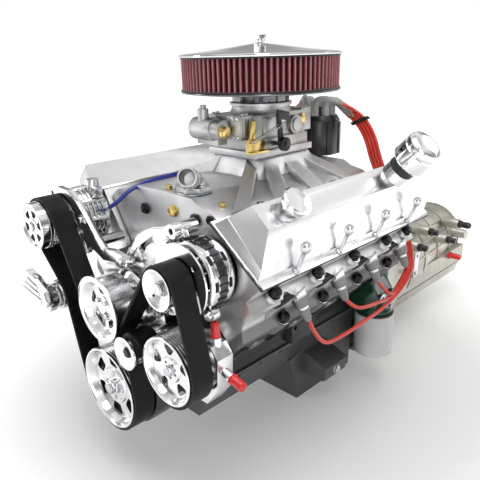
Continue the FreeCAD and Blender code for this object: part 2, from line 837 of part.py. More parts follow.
def make_intake():
    half = [(0, 238), (108, 238), (122, 252), (176, 338), (150, 356), (118, 362), (96, 374), (0, 376)]
    outline = half + [(-x, z) for x, z in reversed(half[1:-1])]
    base = prism_y(outline, -head_length / 2 + bank_stagger + 12, head_length / 2 - bank_stagger - 22)
    top = 62.0
    plenum = lofted([[vec(-95, carb_y - 110, 366), vec(95, carb_y - 110, 366), vec(95, carb_y + 110, 366),
                      vec(-95, carb_y + 110, 366)], [vec(-top, carb_y - 88, carb_base_height - 14),
                                                     vec(top, carb_y - 88, carb_base_height - 14),
                                                     vec(top, carb_y + 88, carb_base_height - 14),
                                                     vec(-top, carb_y + 88, carb_base_height - 14)]])
    pad = box(-72, 72, carb_y - 96, carb_y + 96, carb_base_height - 14, carb_base_height)
    runners = []
    for side in (1, -1):
        for i in range(4):
            y = cylinder_y(side, i) * 0.97
            y_in = carb_y + (i - 1.5) * 46
            a = [vec(side * 40, y_in - 20, 352), vec(side * 40, y_in + 20, 352),
                 vec(side * 40, y_in + 20, 412), vec(side * 40, y_in - 20, 412)]
            b = [vec(side * 140, y - 24, 300), vec(side * 140, y + 24, 300), vec(side * 166, y + 24, 352),
                 vec(side * 166, y - 24, 352)]
            runners.append(lofted([a, b]))
    neck = rod(vec(neck_x, neck_y, 340), Z, 34, neck_seat - 340)
    solid = joined([base, plenum, pad, neck] + runners)
    hollow = [(-98, 230), (-112, 252), (-140, 300), (-104, 336), (0, 344), (104, 336), (140, 300),
              (112, 252), (98, 230)]
    cuts = [prism_y(hollow, -head_length / 2 + bank_stagger + 22, distributor_y - 40)]
    for dx in (-1, 1):
        for dy in (-1, 1):
            cuts.append(rod(vec(dx * 24, carb_y + dy * 28, carb_base_height - 90), Z,
                            throttle_bore_radius + 2, 91))
    for side in (1, -1):
        cuts.append(bank_prism(side, [(100, head_n(0)), (100, head_n(170)), (28, head_n(151)),
                                      (-115, head_n(132)), (-106, head_n(100)), (-88, head_n(14)),
                                      (-82, head_n(-1))], -400, 400))
    cuts.append(rod(vec(0, distributor_y, 200), Z, distributor_stem_radius + run_gap, 300))
    return solid.cut(group(cuts))


def make_neck():
    flange = prism_z([(neck_x - 36, neck_y - 14), (neck_x - 14, neck_y - 30), (neck_x + 14, neck_y - 30),
                      (neck_x + 36, neck_y - 14), (neck_x + 36, neck_y + 14), (neck_x + 14, neck_y + 30),
                      (neck_x - 14, neck_y + 30), (neck_x - 36, neck_y + 14)], neck_seat, neck_seat + 10)
    dome = Part.makeSphere(26, vec(neck_x, neck_y, neck_seat + 8))
    dome = dome.cut(box(neck_x - 40, neck_x + 40, neck_y - 40, neck_y + 40, neck_seat - 40, neck_seat))
    d = vec(0.62, -0.72, 0.3)
    d.normalize()
    start = vec(neck_x, neck_y, neck_seat + 20)
    spout = turned(start, d, [(0, 0), (neck_radius + 1.5, 0), (neck_radius + 1.5, 36), (neck_radius, 38),
                              (neck_radius, neck_reach), (0, neck_reach)])
    ears = [rod(vec(neck_x + k * 27, neck_y, neck_seat + 10), Z, 8, 4) for k in (-1, 1)]
    body = joined([flange, dome, spout] + ears)
    return body.cut(rod(start + d * 6, d, neck_bore, 70))


def make_carb_base():
    base = box(-66, 66, carb_y - 86, carb_y + 86, carb_base_height, carb_base_height + 24)
    cuts = []
    for dx in (-1, 1):
        for dy in (-1, 1):
            cuts.append(rod(vec(dx * 24, carb_y + dy * 28, carb_base_height - 1), Z, throttle_bore_radius,
                            40))
    cuts.append(rod(vec(-90, throttle_shaft_y, throttle_shaft_z), X, throttle_shaft_radius + run_gap, 180))
    return base.cut(group(cuts))


def make_throttle():
    z = throttle_shaft_z
    y = throttle_shaft_y
    shaft = rod(vec(-70, y, z), X, throttle_shaft_radius, 172)
    plates = [rod(vec(dx * 24, y, z - 0.8), Z, throttle_bore_radius - 0.6, 1.6) for dx in (-1, 1)]
    arm = prism_x([(y - 9, z - 8), (y + 9, z - 8), (y - 2, z + 52), (y + 22, z + 48), (y + 24, z + 66),
                   (y - 14, z + 74)], 84, 88)
    wheel = ring_x((y + 2, z), 15, 0, 88, 98)
    return joined([shaft] + plates + [arm, wheel])


def ring_x(at, outer, inner, x0, x1):
    ring = rod(vec(x0, at[0], at[1]), X, outer, x1 - x0)
    if inner > 0:
        ring = ring.cut(rod(vec(x0 - 1, at[0], at[1]), X, inner, x1 - x0 + 2))
    return ring


def make_carb_body():
    z0 = carb_base_height + 24
    low = box(-60, 60, carb_y - 84, carb_y + 84, z0, z0 + 50)
    bowl_front = box(-52, 52, carb_y - 118, carb_y - 80, z0 + 2, z0 + 52)
    bowl_rear = box(-52, 52, carb_y + 80, carb_y + 116, z0 + 2, z0 + 52)
    tower = turned_z((0, carb_y), [(0, z0 + 50), (70, z0 + 50), (66, z0 + 58),
                                   (65, air_cleaner_floor - 18), (0, air_cleaner_floor - 18)])
    cuts = []
    for dx in (-1, 1):
        for dy in (-1, 1):
            cuts.append(rod(vec(dx * 24, carb_y + dy * 28, z0 - 1), Z, throttle_bore_radius, 120))
    horn = ring_z((0, carb_y), 57, 9, air_cleaner_floor - 36, air_cleaner_floor)
    upper = joined([low, bowl_front, bowl_rear, tower]).cut(group(cuts)).cut(horn)
    choke = [rod(vec(58, carb_y + 40, z0 + 22), X, 20, 14), rod(vec(66, carb_y + 40, z0 + 22), X, 15, 10)]
    flange = ring_z((0, carb_y), 70, 50, air_cleaner_floor - 24, air_cleaner_floor - 18)
    screws = [rod(vec(dx, carb_y + dy, z0 + 50), Z, 4, 6) for dx in (-44, 44) for dy in (-104, -92, 92, 104)]
    ribs = [box(52, 56, carb_y - 112 + 8 * k, carb_y - 109 + 8 * k, z0 + 8, z0 + 46) for k in range(3)]
    bosses = [box(56, 64, carb_y - 60, carb_y - 20, z0 + 4, z0 + 44),
              box(56, 66, carb_y - 16, carb_y + 8, z0 + 20, z0 + 56)]
    return joined([make_carb_base(), upper, make_fuel_inlet()] + choke + screws + ribs + bosses + [flange])


def make_fuel_inlet():
    z0 = carb_base_height + 24
    y0 = carb_y - 118
    front = rod(vec(-64, y0 - 20, z0 + 24), vec(1, 0, 0), 24, 62)
    cap = rod(vec(-72, y0 - 20, z0 + 24), vec(1, 0, 0), 17, 8)
    nozzle = rod(vec(-36, y0 - 24, z0 + 30), Z, 12, 36)
    lug = rod(vec(-36, y0 - 24, z0 + 60), Z, 7, 14)
    barrel = rod(vec(-4, y0 - 20, z0 + 24), X, 20, 24)
    brace = box(-56, 10, y0 - 26, y0 + 2, z0 - 8, z0 + 6)
    link = box(-40, 14, y0 - 20, y0 + 2, z0 + 4, z0 + 44)
    return joined([front, cap, nozzle, lug, barrel, brace, link]).cut(box(-80, 80, y0 + 0.5, y0 + 60,
            z0 - 20, z0 + 80))


def make_carb_fittings():
    z = carb_base_height
    y0 = carb_y - 118
    plug = turned(vec(20, y0 - 20, z + 45), X, [(0, 0), (14, 0), (14, 4), (11, 5), (11, 11), (7, 12),
                                                (0, 12)])
    plate = prism_x([(carb_y - 120, z), (carb_y - 65, z), (carb_y - 65, z + 24), (carb_y - 84, z + 24),
                     (carb_y - 84, z + 28), (carb_y - 120, z + 28)], 68, 72)
    upright = prism_x([(carb_y - 104, z + 24.5), (carb_y - 90, z + 24.5), (carb_y - 90, z + 66),
                       (carb_y - 100, z + 66)], 60, 68)
    foot = box(68, 84, carb_y - 120, carb_y - 65, z, z + 4)
    rear = turned(vec(60, carb_y + 71, z + 55), X, [(0, 0), (12, 0), (12, 5), (9, 7), (0, 8)])
    return group([plug, joined([plate, foot]), upright, rear])


def make_cleaner_base():
    z = air_cleaner_floor
    r = air_cleaner_radius
    return turned_z((0, carb_y), [(57, z - 18), (64.5, z - 18), (64.5, z - 1), (100, z - 1),
                                  (r - 16, z + 4), (r, z + 6), (r, z + 10), (r - 4, z + 10),
                                  (r - 18, z + 7), (100, z + 2), (60, z + 2), (57, z - 1)])


def make_element():
    z = air_cleaner_floor + 10
    r = air_cleaner_radius - 4
    pleats = 90
    points = []
    for k in range(2 * pleats):
        a = math.pi * k / pleats
        radius = r if k % 2 == 0 else r - 7
        points.append((radius * math.cos(a), carb_y + radius * math.sin(a)))
    outer = prism_z(points, z + 2, z + element_height - 8)
    band = ring_z((0, carb_y), r - 1, r - 24, z, z + 2)
    upper = ring_z((0, carb_y), r - 1, r - 24, z + element_height - 8, z + element_height - 6)
    core = rod(vec(0, carb_y, z - 1), Z, r - 24, element_height + 4)
    return joined([outer, band, upper]).cut(core)


def ring_z(at, outer, inner, z0, z1):
    return rod(vec(at[0], at[1], z0), Z, outer, z1 - z0).cut(rod(vec(at[0], at[1], z0 - 1), Z, inner,
                                                                 z1 - z0 + 2))


def make_lid():
    r = air_cleaner_radius
    z = lid_z
    return turned_z((0, carb_y), [(3, z + 22), (20, z + 20), (r - 70, z + 8), (r - 8, z + 2), (r - 4, z),
                                  (r, z), (r, z + 4), (r - 8, z + 6), (r - 70, z + 12), (20, z + 24),
                                  (3, z + 26)])


def make_stud():
    z0 = air_cleaner_floor - 18
    pin = rod(vec(0, carb_y, z0), Z, 3.5, stud_top - z0)
    nut = rod(vec(0, carb_y, lid_z + 26), Z, 8, 8)
    wings = box(-16, 16, carb_y - 1.5, carb_y + 1.5, lid_z + 30, lid_z + 42)
    return joined([pin, nut, wings])


# Ignition

def make_distributor():
    at = (0.0, distributor_y)
    z = distributor_seat
    return turned_z(at, [(distributor_shaft_radius + run_gap, z), (13, z), (13, 300),
                         (distributor_stem_radius, 310), (distributor_stem_radius, 376), (34, 380),
                         (46, 388), (46, cap_seat), (43, cap_seat), (43, 396),
                         (distributor_shaft_radius + run_gap, 396)])


def make_rotor():
    z = cam_height + cam_radius + 2
    shaft = rod(vec(0, distributor_y, z), Z, distributor_shaft_radius, 420 - z)
    arm = box(-8, 34, distributor_y - 7, distributor_y + 7, 416, 422)
    return joined([shaft, arm])


def make_distributor_cap():
    at = (0.0, distributor_y)
    shell = turned_z(at, [(cap_radius, cap_foot), (cap_radius, 462), (cap_radius - 7, 474), (0, 476),
                          (0, 472), (38, 470), (43, 460), (43, cap_seat), (46, cap_seat), (46, cap_foot)])
    towers = [rod(vec(0, distributor_y, 473), Z, 8, tower_top - 473)]
    for k in range(8):
        rib = box(cap_radius - 2, cap_radius + 3, distributor_y - 7, distributor_y + 7, cap_foot, 458)
        rib.rotate(vec(0, distributor_y, 0), Z, 45.0 * k + 22.5)
        towers.append(rib)
    for side in (1, -1):
        for lane in range(4):
            x, y = tower_place(side, lane)
            towers.append(rod(vec(x, y, 473), Z, 7, tower_top - 473))
    return joined([shell] + towers)


# Accessories

def make_pump_housing():
    x, z = pulley_at["pump"]
    y1 = block_front - timing_depth
    nose = turned_y((x, z), [(pump_bore, belt_front + 24), (26, belt_front + 24), (32, belt_front + 52),
                             (58, -340), (62, y1), (pump_bore, y1)])
    legs = []
    for side in (1, -1):
        legs.append(prism_y([(side * 20, z - 40), (side * 118, z - 10), (side * 126, z + 32),
                             (side * 30, z + 40)], y1, block_front))
        legs.append(prism_y([(side * 20, z - 24), (side * 108, z - 4), (side * 110, z + 24),
                             (side * 20, z + 24)], y1 - 14, y1 + 2))
    body = joined([nose] + legs)
    cover_room = rod_y((0, cam_height), 76.4, y1 - 0.4, block_front + 1)
    return body.cut(cover_room)


def make_pump_pulley():
    at = pulley_at["pump"]
    y0 = belt_front - pulley_lip
    y1 = belt_front + belt_width + pulley_lip
    r = pump_pulley_radius
    web = y0 + 12
    profile = [(0, web - 6), (12, web - 6), (14, web - 2), (24, web - 2), (26, web), (r - 14, web),
               (r - 6, y0 - 2), (r - 4, y0 - 4), (pump_flange_radius, y0 - 4),
               (pump_flange_radius, y0 + 1), (r, y0 + 3), (r, y1), (r - 6, y1), (r - 6, web + 8),
               (24, web + 8), (24, web + 12), (0, web + 12)]
    wheel = turned_y(at, profile).cut(group(window_ring(at, 5, 29.0, 45.0, 14.0, 22.0, 0.3, web - 4,
                                                        web + 20)))
    return joined([wheel, rod_y(at, pump_bore - run_gap, web + 6, -330)])


def make_alternator_front():
    at = pulley_at["alternator"]
    y = belt_front + belt_width + fan_depth
    end = belt_front + belt_width + 35
    bore = alternator_shaft_radius + run_gap
    shell = turned_y(at, [(bore, y), (24, y), (50, y + 1), (62, y + 4), (66, y + 8), (66, end), (60, end),
                          (60, y + 10), (20, y + 6), (20, y + 14), (bore, y + 14)])
    slots = window_ring(at, 8, 34.0, 54.0, 10.0, 14.0, 0.2, y - 2, y + 12)
    ears = []
    for x, z in ((at[0] - 52, at[1] + 50), (at[0] + 50, at[1] - 52)):
        ears.append(rod_y((x, z), 12, y + 6, end))
        ears.append(rod_y((x, z), 8, y, y + 6))
    inside = rod_y(at, 59, y + 12, end + 1)
    return joined([shell.cut(group(slots))] + [ear.cut(inside) for ear in ears])


def make_stator():
    at = pulley_at["alternator"]
    y = belt_front + belt_width + 35
    ring = ring_y(at, 66, 56, y, y + 18)
    teeth = []
    for k in range(30):
        a = 2 * math.pi * k / 30
        tooth = box(at[0] + 64, at[0] + 68.5, y, y + 18, at[1] - 2.4, at[1] + 2.4)
        tooth.rotate(vec(at[0], 0, at[1]), Y, math.degrees(a))
        teeth.append(tooth)
    return joined([ring] + teeth)


def make_alternator_rear():
    at = pulley_at["alternator"]
    y = belt_front + belt_width + 53
    bore = alternator_shaft_radius + run_gap
    return turned_y(at, [(60, y), (66, y), (66, y + 12), (58, alternator_rear), (bore, alternator_rear),
                         (bore, alternator_rear - 4), (56, alternator_rear - 4), (60, y + 10)])


def make_alternator_rotor():
    at = pulley_at["alternator"]
    y = belt_front + belt_width
    y0 = belt_front - pulley_lip
    r = alternator_pulley_radius
    wheel = turned_y(at, [(0, y0 + 10), (8, y0 + 10), (r - 3, y0 + 1), (r - 1, y0), (r + 1, y0),
                          (r + 1, y0 + 2), (r, y0 + 3), (r, y + pulley_lip), (0, y + pulley_lip)])
    wheel = wheel.cut(group(grooves(at, r)))
    holes = [rod_y((at[0] + 20 * math.cos(a), at[1] + 20 * math.sin(a)), 2.5, y0, y0 + 16) for a in (0.8,
            3.94)]
    fan = turned_y(at, [(0, y + 3), (fan_radius - 1, y + 3), (fan_radius, y + 4), (fan_radius, y + 6),
                        (0, y + 6)])
    blades = []
    for k in range(14):
        blade = box(at[0] + 36, at[0] + fan_radius - 3, y + 5, y + fan_depth - 2, at[1] - 1.2, at[1] + 1.2)
        blade.rotate(vec(at[0], 0, at[1]), Y, k * 360.0 / 14)
        blades.append(blade)
    for k in range(3):
        a = 2 * math.pi * k / 3 + 0.7
        holes.append(rod_y((at[0] + 50 * math.cos(a), at[1] + 50 * math.sin(a)), 6, y + 2, y + 7))
    shaft = rod_y(at, alternator_shaft_radius, y - 4, alternator_rear - 1)
    core = rod_y(at, 54, y + 30, y + 62)
    return joined([wheel, fan, shaft, core] + blades).cut(group(holes))


def make_steering_pump():
    x, z = pulley_at["steering"]
    y0 = belt_front + belt_width + 6
    body = rod_y((x, z), 46, y0, y0 + 40)
    tank = prism_y([(x - 34, z - 78), (x + 34, z - 78), (x + 62, z - 40), (x + 66, z + 20),
                    (x + 50, z + 40), (x - 20, z + 46), (x - 40, z + 10)], y0 + 8, y0 + 44)
    fill = rod(vec(x + 44, y0 + 26, z + 30), Z, 10, fill_top - 30)
    spout = rod(vec(x + 40, y0 + 26, z - 4), spout_dir(), 9, spout_length)
    shape = joined([body, tank, fill, spout])
    boss = rod_y((x - 20, z + 10), 26, y0 + 40, head_front_left)
    return joined([shape, boss]).cut(rod_y((x, z), pulley_pin_radius, y0 - 2, y0 + 30))


def spout_dir():
    d = vec(1, 0, -0.25)
    d.normalize()
    return d


def make_steering_pulley():
    at = pulley_at["steering"]
    y = belt_front + belt_width
    web = belt_front - pulley_lip + steering_recess
    wheel = dished_pulley(at, steering_pulley_radius, 22.0, steering_recess)
    holes = window_ring(at, 5, 28.0, 50.0, 9.0, 20.0, 0.35, web - 10, web + 20)
    for k in range(5):
        a = 0.35 + 0.63 + 2 * math.pi * k / 5
        holes.append(rod_y((at[0] + 15 * math.cos(a), at[1] + 15 * math.sin(a)), 2.5, web - 10, web + 4))
    return joined([wheel.cut(group(holes)), rod_y(at, pulley_pin_radius - run_gap, web + 2, y + 32)])


def make_hose_caps():
    x, z = pulley_at["steering"]
    y0 = belt_front + belt_width + 32
    d = spout_dir()
    upper = turned(vec(x + 44, y0, z + fill_top), Z, [(0, 0), (9, 0), (9, 4), (8, 5), (8, 24), (5, 28),
                                                      (0, 29)])
    side = turned(vec(x + 40, y0, z - 4) + d * spout_length, d,
                  [(0, 0), (10, 0), (10, 5), (9, 6), (9, 26), (6, 30), (0, 31)])
    return group([upper, side])


def make_compressor_body():
    at = pulley_at["compressor"]
    y0 = belt_front + belt_width + compressor_gap
    y1 = cover_front_right - 4
    bore = compressor_shaft_radius + run_gap
    body = turned_y(at, [(bore, y0), (44, y0), (60, y0 + 8), (60, y1 - 6), (52, y1), (bore, y1)])
    fins = []
    for k in range(9):
        a = 2 * math.pi * k / 9
        fins.append(rod_y((at[0] + 56 * math.cos(a), at[1] + 56 * math.sin(a)), 9, y0 + 12, y1 - 10))
    for k in range(4):
        fins.append(ring_y(at, 64, 50, y0 + 20 + 11 * k, y0 + 24 + 11 * k))
    fins.append(rod(vec(at[0] + 34, y1 - 24, at[1] + 40), Z, 13, 42))
    fins.append(box(at[0] + 14, at[0] + 54, y1 - 34, y1 - 14, at[1] + 52, at[1] + 66))
    return joined([body] + fins)


def make_compressor_pulley():
    at = pulley_at["compressor"]
    r = compressor_pulley_radius
    y0 = belt_front - pulley_lip
    y1 = belt_front + belt_width + pulley_lip
    rim = turned_y(at, [(32, y0), (r, y0), (r, y1), (32, y1)]).cut(group(grooves(at, r)))
    face = y0 - compressor_cap
    cap = turned_y(at, [(0, face + 4), (10, face + 4), (11, face + 2), (16, face + 2), (17, face + 4),
                        (38, face + 4), (42, face), (r - 2, face), (r - 1, face + 1), (r - 1, y0),
                        (40, y0), (40, face + 10), (0, face + 10)])
    windows = window_ring(at, 6, 20.0, 36.0, 12.0, 19.0, 0.2, face - 4, face + 12)
    shaft = rod_y(at, compressor_shaft_radius, face + 6, belt_front + belt_width + 40)
    hub = rod_y(at, 34, y0, y0 + 8)
    return joined([rim, cap.cut(group(windows)), hub, shaft])


def make_idler():
    at = pulley_at["idler"]
    r = idler_radius
    y0 = belt_front - pulley_lip
    y1 = belt_front + belt_width + pulley_lip
    bore = pulley_pin_radius + run_gap
    barrel = turned_y(at, [(bore, y0), (r, y0), (r, y1), (r - 6, y1), (r - 6, y1 - 8), (bore, y1 - 8)])
    barrel = barrel.cut(group(grooves(at, r)))
    disc = turned_y(at, [(0, y0 - 5), (r - 2, y0 - 14), (idler_disc_radius, y0 - 14),
                         (idler_disc_radius, y0 - 11), (r, y0), (bore, y0), (bore, y0 - 1), (0, y0 - 1)])
    return joined([barrel, disc])


def make_idler_bracket():
    x, z = pulley_at["idler"]
    y1 = belt_front + belt_width + pulley_lip
    pin = rod_y((x, z), pulley_pin_radius, belt_front - 2, y1 + 2)
    arm = turned_y((x, z), [(0, y1 + 0.4), (24, y1 + 0.4), (24, y1 + 14), (20, y1 + 18), (20, block_front),
                            (0, block_front)])
    return joined([pin, arm]).cut(rod_y((0, cam_height), 76.4, block_front - timing_depth - 1,
                                        block_front + 1))


def make_tensioner_arm():
    x, z = pulley_at["tensioner"]
    px, pz = tensioner_pivot
    y1 = belt_front + belt_width + pulley_lip
    pin = rod_y((x, z), pulley_pin_radius, belt_front - 10, y1 + 2)
    bar = joined([rod_y((x, z), 16, y1 + 0.4, y1 + 14), rod_y((px, pz), 24, y1 + 0.4, y1 + 14),
                  prism_y([(x - 14, z + 16), (x - 14, z - 16), (px, pz - 22), (px, pz + 22)], y1 + 0.4,
                          y1 + 14)])
    bar = bar.cut(rod_y((px, pz), pivot_pin_radius + run_gap, y1 - 1, y1 + 20))
    back = belt_front - pulley_lip - 3
    stem = turned_y((x, z), [(0, back - 26), (30, back - 26), (30, back - 10), (25, back - 8), (25, back),
                             (0, back)])
    cap = soft_prism_y(tensioner_cap, 14.0, back - 40, back - 24)
    bars = []
    for k in range(3):
        low = 168.0 + 13.0 * k
        bars.append(soft_prism_y([(-226 + 12 * k, low + 7), (-226 + 12 * k, low), (-146 - 6 * k, low - 11),
                                  (-146 - 6 * k, low - 4)], 3.0, back - 43, back - 39))
    return joined([pin, bar, stem, cap] + bars)


def make_tensioner_base():
    px, pz = tensioner_pivot
    y1 = belt_front + belt_width + pulley_lip
    pin = rod_y((px, pz), pivot_pin_radius, y1 - 4, y1 + 20)
    can = rod_y((px, pz), 28, y1 + 14.4, y1 + 40)
    arm = prism_y([(px - 20, pz - 24), (px + 20, pz - 24), (-60, pz - 10), (-60, pz + 40), (px, pz + 28)],
                  y1 + 32, y1 + 46)
    foot = prism_y([(-118, pz - 10), (-78, pz - 10), (-78, pz + 30), (-118, pz + 30)], y1 + 40, block_front)
    return joined([pin, can, arm, foot])


def make_tensioner_pulley():
    at = pulley_at["tensioner"]
    return smooth_pulley(at, tensioner_radius, pulley_pin_radius + run_gap)


def make_compressor_bracket():
    x, z = pulley_at["compressor"]
    y0 = belt_front + belt_width + 4.4
    y1 = belt_front + belt_width + compressor_gap
    arm = soft_prism_y(compressor_arm, 9.0, y0, y1)
    post = rod_y((x + 66, z - 46), 11, y1, head_front_right)
    stub = rod_y((18, 262), 9, y1, belt_front + belt_width + 27)
    holes = [rod_y((-229, 357), 5, y0 - 1, y1 + 1), rod_y((-116, 318), 4, y0 - 1, y0 + 6),
             rod_y((18, 262), 4, y0 - 1, y0 + 6)]
    return joined([arm, post, stub]).cut(group(holes))


def make_alternator_bracket():
    y0 = belt_front + belt_width + 27
    y1 = y0 + 10
    plate = soft_prism_y(bracket_plate, 12.0, y0, y1)
    slot = soft_prism_y([(50, 270), (42, 286), (60, 310), (84, 322), (88, 310), (68, 298)], 4.0, y0 - 1,
                        y1 + 1)
    lip = soft_prism_y([(x, z - 3) for x, z in bracket_plate[1:8]] + [(150, 336), (95, 326), (40, 290),
                                                                      (14, 262)], 5.0, y0 - 3, y0 + 1)
    nose = ring_y(bracket_nose, 13, 6, y0 - 12, y1 + 30)
    room = group([rod_y(pulley_at["alternator"], 70.0, y0 - 4, y1 + 1), slot, make_alternator_front(),
                  rod_y(bracket_nose, 6, y0 - 13, y1 + 31)])
    post = rod_y((76, 252), 12, y1, block_front)
    return joined([plate.cut(room), nose, post, lip.cut(room)])


def make_oil_filter():
    at = filter_at
    z = filter_top - filter_height
    return turned_z(at, [(0, z), (filter_can_radius - 8, z), (filter_can_radius, z + 6),
                         (filter_can_radius, filter_top - 4), (filter_can_radius - 4, filter_top),
                         (0, filter_top)])


def make_filter_adapter(block):
    x, y = filter_at
    z = filter_top
    core = turned_z((x, y), [(0, z), (42, z), (44, z + 10), (40, z + 18), (0, z + 40)])
    arm = prism_y([(rail_half_width, 4), (x, 4), (x + 26, 24), (x + 30, 60), (x + 8, 90),
                   (rail_half_width, 90)], y - 44, y + 28)
    lugs = [rod(vec(x + 24, y + dy, 52), X, 9, 14) for dy in (-32, 18)]
    rail_room = box(0, rail_half_width + 5, y - 80, y + 60, -60, 1)
    shape = joined([core, arm] + lugs).cut(group([rail_room, block]))
    return biggest(shape)


# Transmission

def make_trans_case():
    def skin(inset):
        bell = Part.makeCone(205 - inset, 168 - inset, bell_rear - block_rear,
                             vec(0, block_rear, -trans_drop), Y)
        bell = bell.cut(box(-260, 260, block_rear - 1, bell_rear + 1, -400, -180 + inset))
        case = Part.makeCone(case_radius_front - inset, case_radius_rear - inset, case_rear - bell_rear,
                             vec(0, bell_rear, -trans_drop), Y)
        return [bell, case]
    rail = box(-128, 128, 486, 948, -84, -62)
    pads = box(-128, 128, 486, 948, -62, -30)
    bosses = []
    for y, z, length in ((560, 70, 34), (640, 96, 26), (760, 40, 30), (850, 70, 26), (905, 20, 30)):
        bosses.append(rod(vec(90, y, z), X, 16, 30 + length))
    tail = Part.makeCone(case_radius_rear - 14, 46, tail_rear - case_rear, vec(0, case_rear, -trans_drop), Y)
    solid = joined(skin(0) + [rail, pads, tail] + bosses)
    cavity = Part.makeCone(190, 160, bell_rear - block_rear - 14, vec(0, block_rear - 1, -trans_drop), Y)
    cavity = cavity.cut(box(-260, 260, block_rear - 2, bell_rear + 1, -400, -174))
    wall = 9.0
    hollow = Part.makeCone(case_radius_front - wall, case_radius_rear - wall - 3,
                           case_rear - bell_rear - 40, vec(0, bell_rear + 20, -trans_drop), Y)
    hollow = hollow.cut(rod_y((0, -trans_drop), output_radius + 16, case_rear - 130, case_rear))
    hollow = joined([hollow, box(-112, 112, 500, 934, pan_rail - 1, -40)])
    cuts = [cavity, hollow, rod_y((0, -trans_drop), output_radius + run_gap, case_rear - 140, tail_rear + 2)]
    cuts.append(rod_y((0, -trans_drop), 40, bell_rear - 20, bell_rear + 20))
    cuts.append(rod(vec(60, shift_y, shift_z), X, shift_radius + run_gap, 200))
    cuts.append(box(-200, 200, 486, 948, -300, pan_rail))
    return solid.cut(group(cuts))


def make_trans_pan():
    outer = lofted([[vec(-124, 490, -84), vec(124, 490, -84), vec(124, 944, -84), vec(-124, 944, -84)],
                    [vec(-112, 502, -128), vec(112, 502, -128), vec(112, 932, -128), vec(-112, 932, -128)]])
    inner = lofted([[vec(-121, 493, -83.9), vec(121, 493, -83.9), vec(121, 941, -83.9),
                     vec(-121, 941, -83.9)], [vec(-110, 504, -125), vec(110, 504, -125),
                                              vec(110, 930, -125), vec(-110, 930, -125)]])
    return outer.cut(inner)


def make_output_shaft():
    at = (0, -trans_drop)
    return joined([rod_y(at, output_radius, case_rear - 125, tail_rear + 6),
                   rod_y(at, output_end_radius, tail_rear + 6, output_end)])


def make_shift_lever():
    shaft = rod(vec(70, shift_y, shift_z), X, shift_radius, 104)
    lever = prism_x([(shift_y - 14, shift_z - 12), (shift_y + 14, shift_z - 12),
                     (shift_y + 16, shift_z + 64), (shift_y - 10, shift_z + 64)], 166, 170)
    lever = lever.cut(rod(vec(160, shift_y + 3, shift_z + 52), X, 5, 20))
    return joined([shaft, lever])


def make_converter():
    # Flexplate and converter turn as one piece behind the crank
    y = block_rear + 4
    plate = rod_y((0, 0), 162, y, y + 3)
    shell = turned_y((0, 0), [(0, y + 3), (120, y + 3), (140, y + 17), (140, y + 63), (110, y + 96),
                              (36, y + 108), (0, y + 108)])
    return joined([plate, shell])


def make_connectors():
    at = [(140, 560, 70), (140, 640, 96), (140, 760, 40)]
    shapes = []
    for (x, y, z), length in zip(at, (34, 26, 30)):
        shapes.append(turned(vec(90 + 30 + length, y, z), X,
                             [(0, 0), (12, 0), (12, 10), (9, 12), (9, 26), (6, 28), (0, 28)]))
    shapes.append(turned(vec(90 + 30 + 26, 850, 70), X, [(0, 0), (13, 0), (13, 8), (10, 10), (11, 30),
                                                         (8, 38), (0, 40)]))
    return group(shapes)


# Damper and belt wheels on the crank

def make_damper():
    y0 = belt_front + belt_width + pulley_lip
    y1 = y0 + damper_width
    ring = turned_y((0, 0), [(crank_nose_radius, y0), (60, y0), (60, y0 + 6), (damper_radius - 16, y0 + 6),
                             (damper_radius - 16, y0), (damper_radius, y0), (damper_radius, y1),
                             (damper_radius - 16, y1), (damper_radius - 16, y1 - 8),
                             (damper_hub_radius, y1 - 8),
                             (damper_hub_radius, block_front - timing_depth + 8),
                             (crank_nose_radius, block_front - timing_depth + 8)])
    return ring


def make_crank_pulley():
    at = pulley_at["crank"]
    web = belt_front - pulley_lip + crank_recess
    wheel = dished_pulley(at, crank_pulley_radius, 36.0, crank_recess, True, crank_nose_radius)
    holes = window_ring(at, 6, 44.0, 67.0, 15.0, 15.5, 0.5, web - 10, web + 20)
    for k in range(4):
        a = math.radians(45 + 90 * k)
        holes.append(rod_y((at[0] + 28 * math.cos(a), at[1] + 28 * math.sin(a)), 3.5, web - 10, web + 60))
    washer = turned_y(at, [(0, web - 9), (15, web - 9), (17, web - 7), (17, web - 3), (30, web - 3),
                           (30, web + 1), (0, web + 1)])
    nose_room = rod_y(at, crank_nose_radius, web + 1, web + 60)
    return joined([wheel.cut(group(holes)), washer.cut(nose_room)])


# Plug wires and hose

def boot_places(side):
    places = []
    for i in range(4):
        at, d = plug_axis(side, i)
        places.append((at + d * 43.4, d))
    return places


def tower_place(side, lane):
    # Lane 0 serves the rearmost plug from the rearmost tower
    a = math.radians((67.5, 22.5, -22.5, -67.5)[lane])
    return side * tower_ring * math.cos(a), distributor_y + tower_ring * math.sin(a)


def wire_points(side, lane):
    # From the tower over the back of the cover, down behind the head and forward below the plugs
    tx, ty = tower_place(side, lane)
    at, d = boot_places(side)[3 - lane]
    end = at + d * boot_length
    o = lane * 9.0
    rear = bank_middle(side) / 2 + cover_length / 2 + 13
    gather = 178.0
    drop = 62.0 if lane == 3 else 30.0
    points = [(tx, ty, tower_top), (tx, ty, tower_top + 24 + 0.3 * o),
              (side * (66 + 0.9 * o), rear, 482 + 0.4 * o), (side * (122 + 0.9 * o), rear, 436 + 0.4 * o),
              (side * (150 + 0.9 * o), rear, 350 + 0.4 * o),
              (side * (273 + 0.6 * o), rear - 1, 160 - 0.3 * o)]
    if lane > 0:
        ahead = min(84.0, (gather - end.y) / 2)
        points.append((side * (284 + 0.6 * o), gather, 98 - 0.5 * o))
        points.append((end.x + side * 16, end.y + ahead, end.z - drop - 8))
    points.append((end.x + side * 10, end.y + 22, end.z - drop))
    points.append((end.x, end.y, end.z))
    return points


